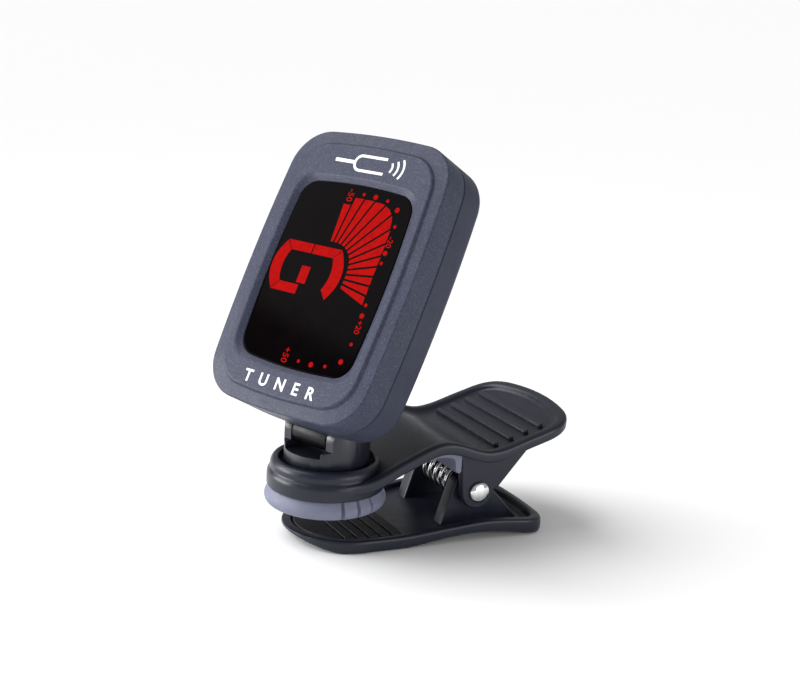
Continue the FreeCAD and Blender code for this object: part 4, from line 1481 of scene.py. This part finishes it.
@dataclass
class FacePrint:
    """The pale print on the face: a tuning fork sign above and a plain word below."""

    axes: HeadAxes
    surface: float
    sign_centre: Point2 = (0.7, 50.2)
    sign_half: float = 8.6
    fork_gap: float = 1.5
    stroke: float = 0.55
    word_centre: Point2 = (-0.3, 5.1)

    def build(self, shop: Workshop) -> None:
        """Make the print."""
        marks = Lettering(self.axes, self.surface, 0.02)
        u, v = self.sign_centre
        left = u - self.sign_half
        bend, gap = left + 6.4, self.fork_gap
        marks.line([(left, v), (bend - gap, v)], self.stroke * 1.3)
        round_end = round_about((bend, v), gap, 90, 270, 14)
        marks.line([(bend + 6.0, v + gap), *round_end, (bend + 6.0, v - gap)], self.stroke)
        for k, reach in enumerate((1.5, 2.3, 3.1)):
            start = bend + 6.2 + 0.55 * k
            marks.line(round_about((start, v), reach, -38, 38, 10), self.stroke * 0.8)
        marks.words("TUNER", self.word_centre, 3.3, downward=False, spacing=2.1, weight=0.07)
        marks.build(shop, "face_print", "shell_paint", "face_ink")


# ---- the rest of the frame -----------------------------------------------------------
CAD_FINISHES = {
    "pivot_retainer": ("retainer_steel", 0.12), "swivel_washer": ("washer_nylon", 0.08),
    "turret": ("turret_plastic", 0.3), "spring_washer": ("spring_steel", 0.05),
    "swivel_screw": ("screw_steel", 0.12), "tilt_pin": ("knuckle_plastic", 0.15),
    "tilt_washers": ("washer_nylon", 0.05), "head_knuckle": ("knuckle_plastic", 0.2),
    "shell_screws": ("screw_steel", 0.1), "lcd_panel": ("lcd_glass", 0.08), "backlight": ("diffuser", 0.1),
    "zebra_strip": ("zebra_rubber", 0.08), "circuit_board": ("board_green", 0.05),
    "tuner_chip": ("chip_epoxy", 0.08), "tilt_switch": ("switch_plastic", 0.15),
    "battery_cell": ("cell_steel", 0.25), "contact_negative": ("contact_nickel", 0.04),
    "contact_positive": ("contact_nickel", 0.06), "piezo_disc": ("piezo_brass", 0.06),
}


def dress_frame(finishes: dict[str, bpy.types.Material]) -> None:
    """Give the frame's own pieces their finishes and soft edges."""
    for node, (finish, width) in CAD_FINISHES.items():
        piece = frame["nodes"][node]
        for material_slot in piece.material_slots:
            material_slot.material = finishes[finish]
        round_edges(piece, width)
        log.info("%s: finished as %s", node, finish)


# ---- studio ---------------------------------------------------------------------------
@dataclass
class Studio:
    """The floor, the soft lights and the camera."""

    camera_place: Point3 = (235.616, -114.056, 108.785)
    heading: float = -61.297
    pitch: float = -15.035
    roll: float = 3.302
    lens: float = 63.635
    floor_half: float = 30000.0
    surroundings: float = 0.42
    sun_turn: Point3 = (38.0, 0.0, -35.0)
    sun_strength: float = 2.5
    sun_angle: float = 50.0
    lights: tuple[tuple[str, Point3, float, float, float], ...] = (
        ("key", (-130.0, -250.0, 70.0), 180.0, 110.0, 0.8),
        ("side", (260.0, 120.0, 60.0), 200.0, 120.0, 0.25))

    def aim(self) -> Matrix:
        """Where the camera stands and how it is turned."""
        heading, pitch, roll = (math.radians(a) for a in (self.heading, self.pitch, self.roll))
        ahead = Vector((
            math.cos(pitch) * math.sin(heading), math.cos(pitch) * math.cos(heading), math.sin(pitch)))
        level = ahead.cross(Vector((0, 0, 1))).normalized()
        upright = level.cross(ahead)
        right = level * math.cos(roll) + upright * math.sin(roll)
        up = upright * math.cos(roll) - level * math.sin(roll)
        turn = Matrix((right, up, -ahead)).transposed().to_4x4()
        return Matrix.Translation(on_clip(*self.camera_place)) @ turn

    def build(self) -> None:
        """Set up the camera, the floor, the lights and the pale surroundings."""
        scene = bpy.context.scene
        camera = bpy.data.cameras.new("view")
        camera.lens = self.lens
        camera.clip_start = 0.005
        camera.clip_end = 50.0
        holder = bpy.data.objects.new("view", camera)
        holder.matrix_world = self.aim()
        scene.collection.objects.link(holder)
        scene.camera = holder
        scene.view_settings.view_transform = "Standard"
        self.build_floor()
        middle = sum(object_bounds(), Vector()) / 2
        for name, place, wide, high, power in self.lights:
            light = bpy.data.lights.new(name, "AREA")
            light.shape = "RECTANGLE"
            light.size, light.size_y = wide * MM, high * MM
            light.energy = power
            lamp = bpy.data.objects.new(name, light)
            lamp.location = on_clip(*place)
            lamp.rotation_euler = (middle - lamp.location).to_track_quat("-Z", "Y").to_euler()
            scene.collection.objects.link(lamp)
        sun = bpy.data.lights.new("overhead", "SUN")
        sun.energy = self.sun_strength
        sun.angle = math.radians(self.sun_angle)
        lamp = bpy.data.objects.new("overhead", sun)
        lamp.rotation_euler = [math.radians(a) for a in self.sun_turn]
        scene.collection.objects.link(lamp)
        world = bpy.data.worlds.new("studio")
        world.use_nodes = True
        world.node_tree.nodes["Background"].inputs["Color"].default_value = (1.0, 1.0, 1.0, 1.0)
        world.node_tree.nodes["Background"].inputs["Strength"].default_value = self.surroundings
        scene.world = world

    def build_floor(self) -> None:
        """Lay a plain pale floor."""
        draft = Draft()
        half = self.floor_half
        corners = ((-half, -half), (half, -half), (half, half), (-half, half))
        draft.cap(draft.ring((x, y, 0.0) for x, y in corners))
        floor = as_object("floor", draft.mesh("floor"))
        recipe = Recipe("floor")
        recipe.feed("Base Color", recipe.blend(recipe.noise(60.0), (0.96, 0.96, 0.96), (0.95, 0.95, 0.95)))
        recipe.set(Roughness=0.8, Specular_IOR_Level=0.1)
        floor.data.materials.append(recipe.material)
        floor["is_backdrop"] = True


def main() -> None:
    """Build every sub-assembly round the frame."""
    logging.basicConfig(level=logging.INFO, format="%(message)s")
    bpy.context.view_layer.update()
    Studio().build()
    finishes = {name: finish.make(name) for name, finish in FINISHES.items()}
    shop = Workshop(finishes)
    dress_frame(finishes)
    pivot = Pivot()
    axes = HeadAxes.from_joints()
    LowerJaw(pivot).build(shop)
    UpperJaw(pivot).build(shop)
    PivotPin(pivot).build(shop)
    case = HeadCase(axes)
    case.build(shop)
    Display(axes, case.lens_front).build(shop)
    FacePrint(axes, case.face).build(shop)


if __name__ == "__main__":
    main()
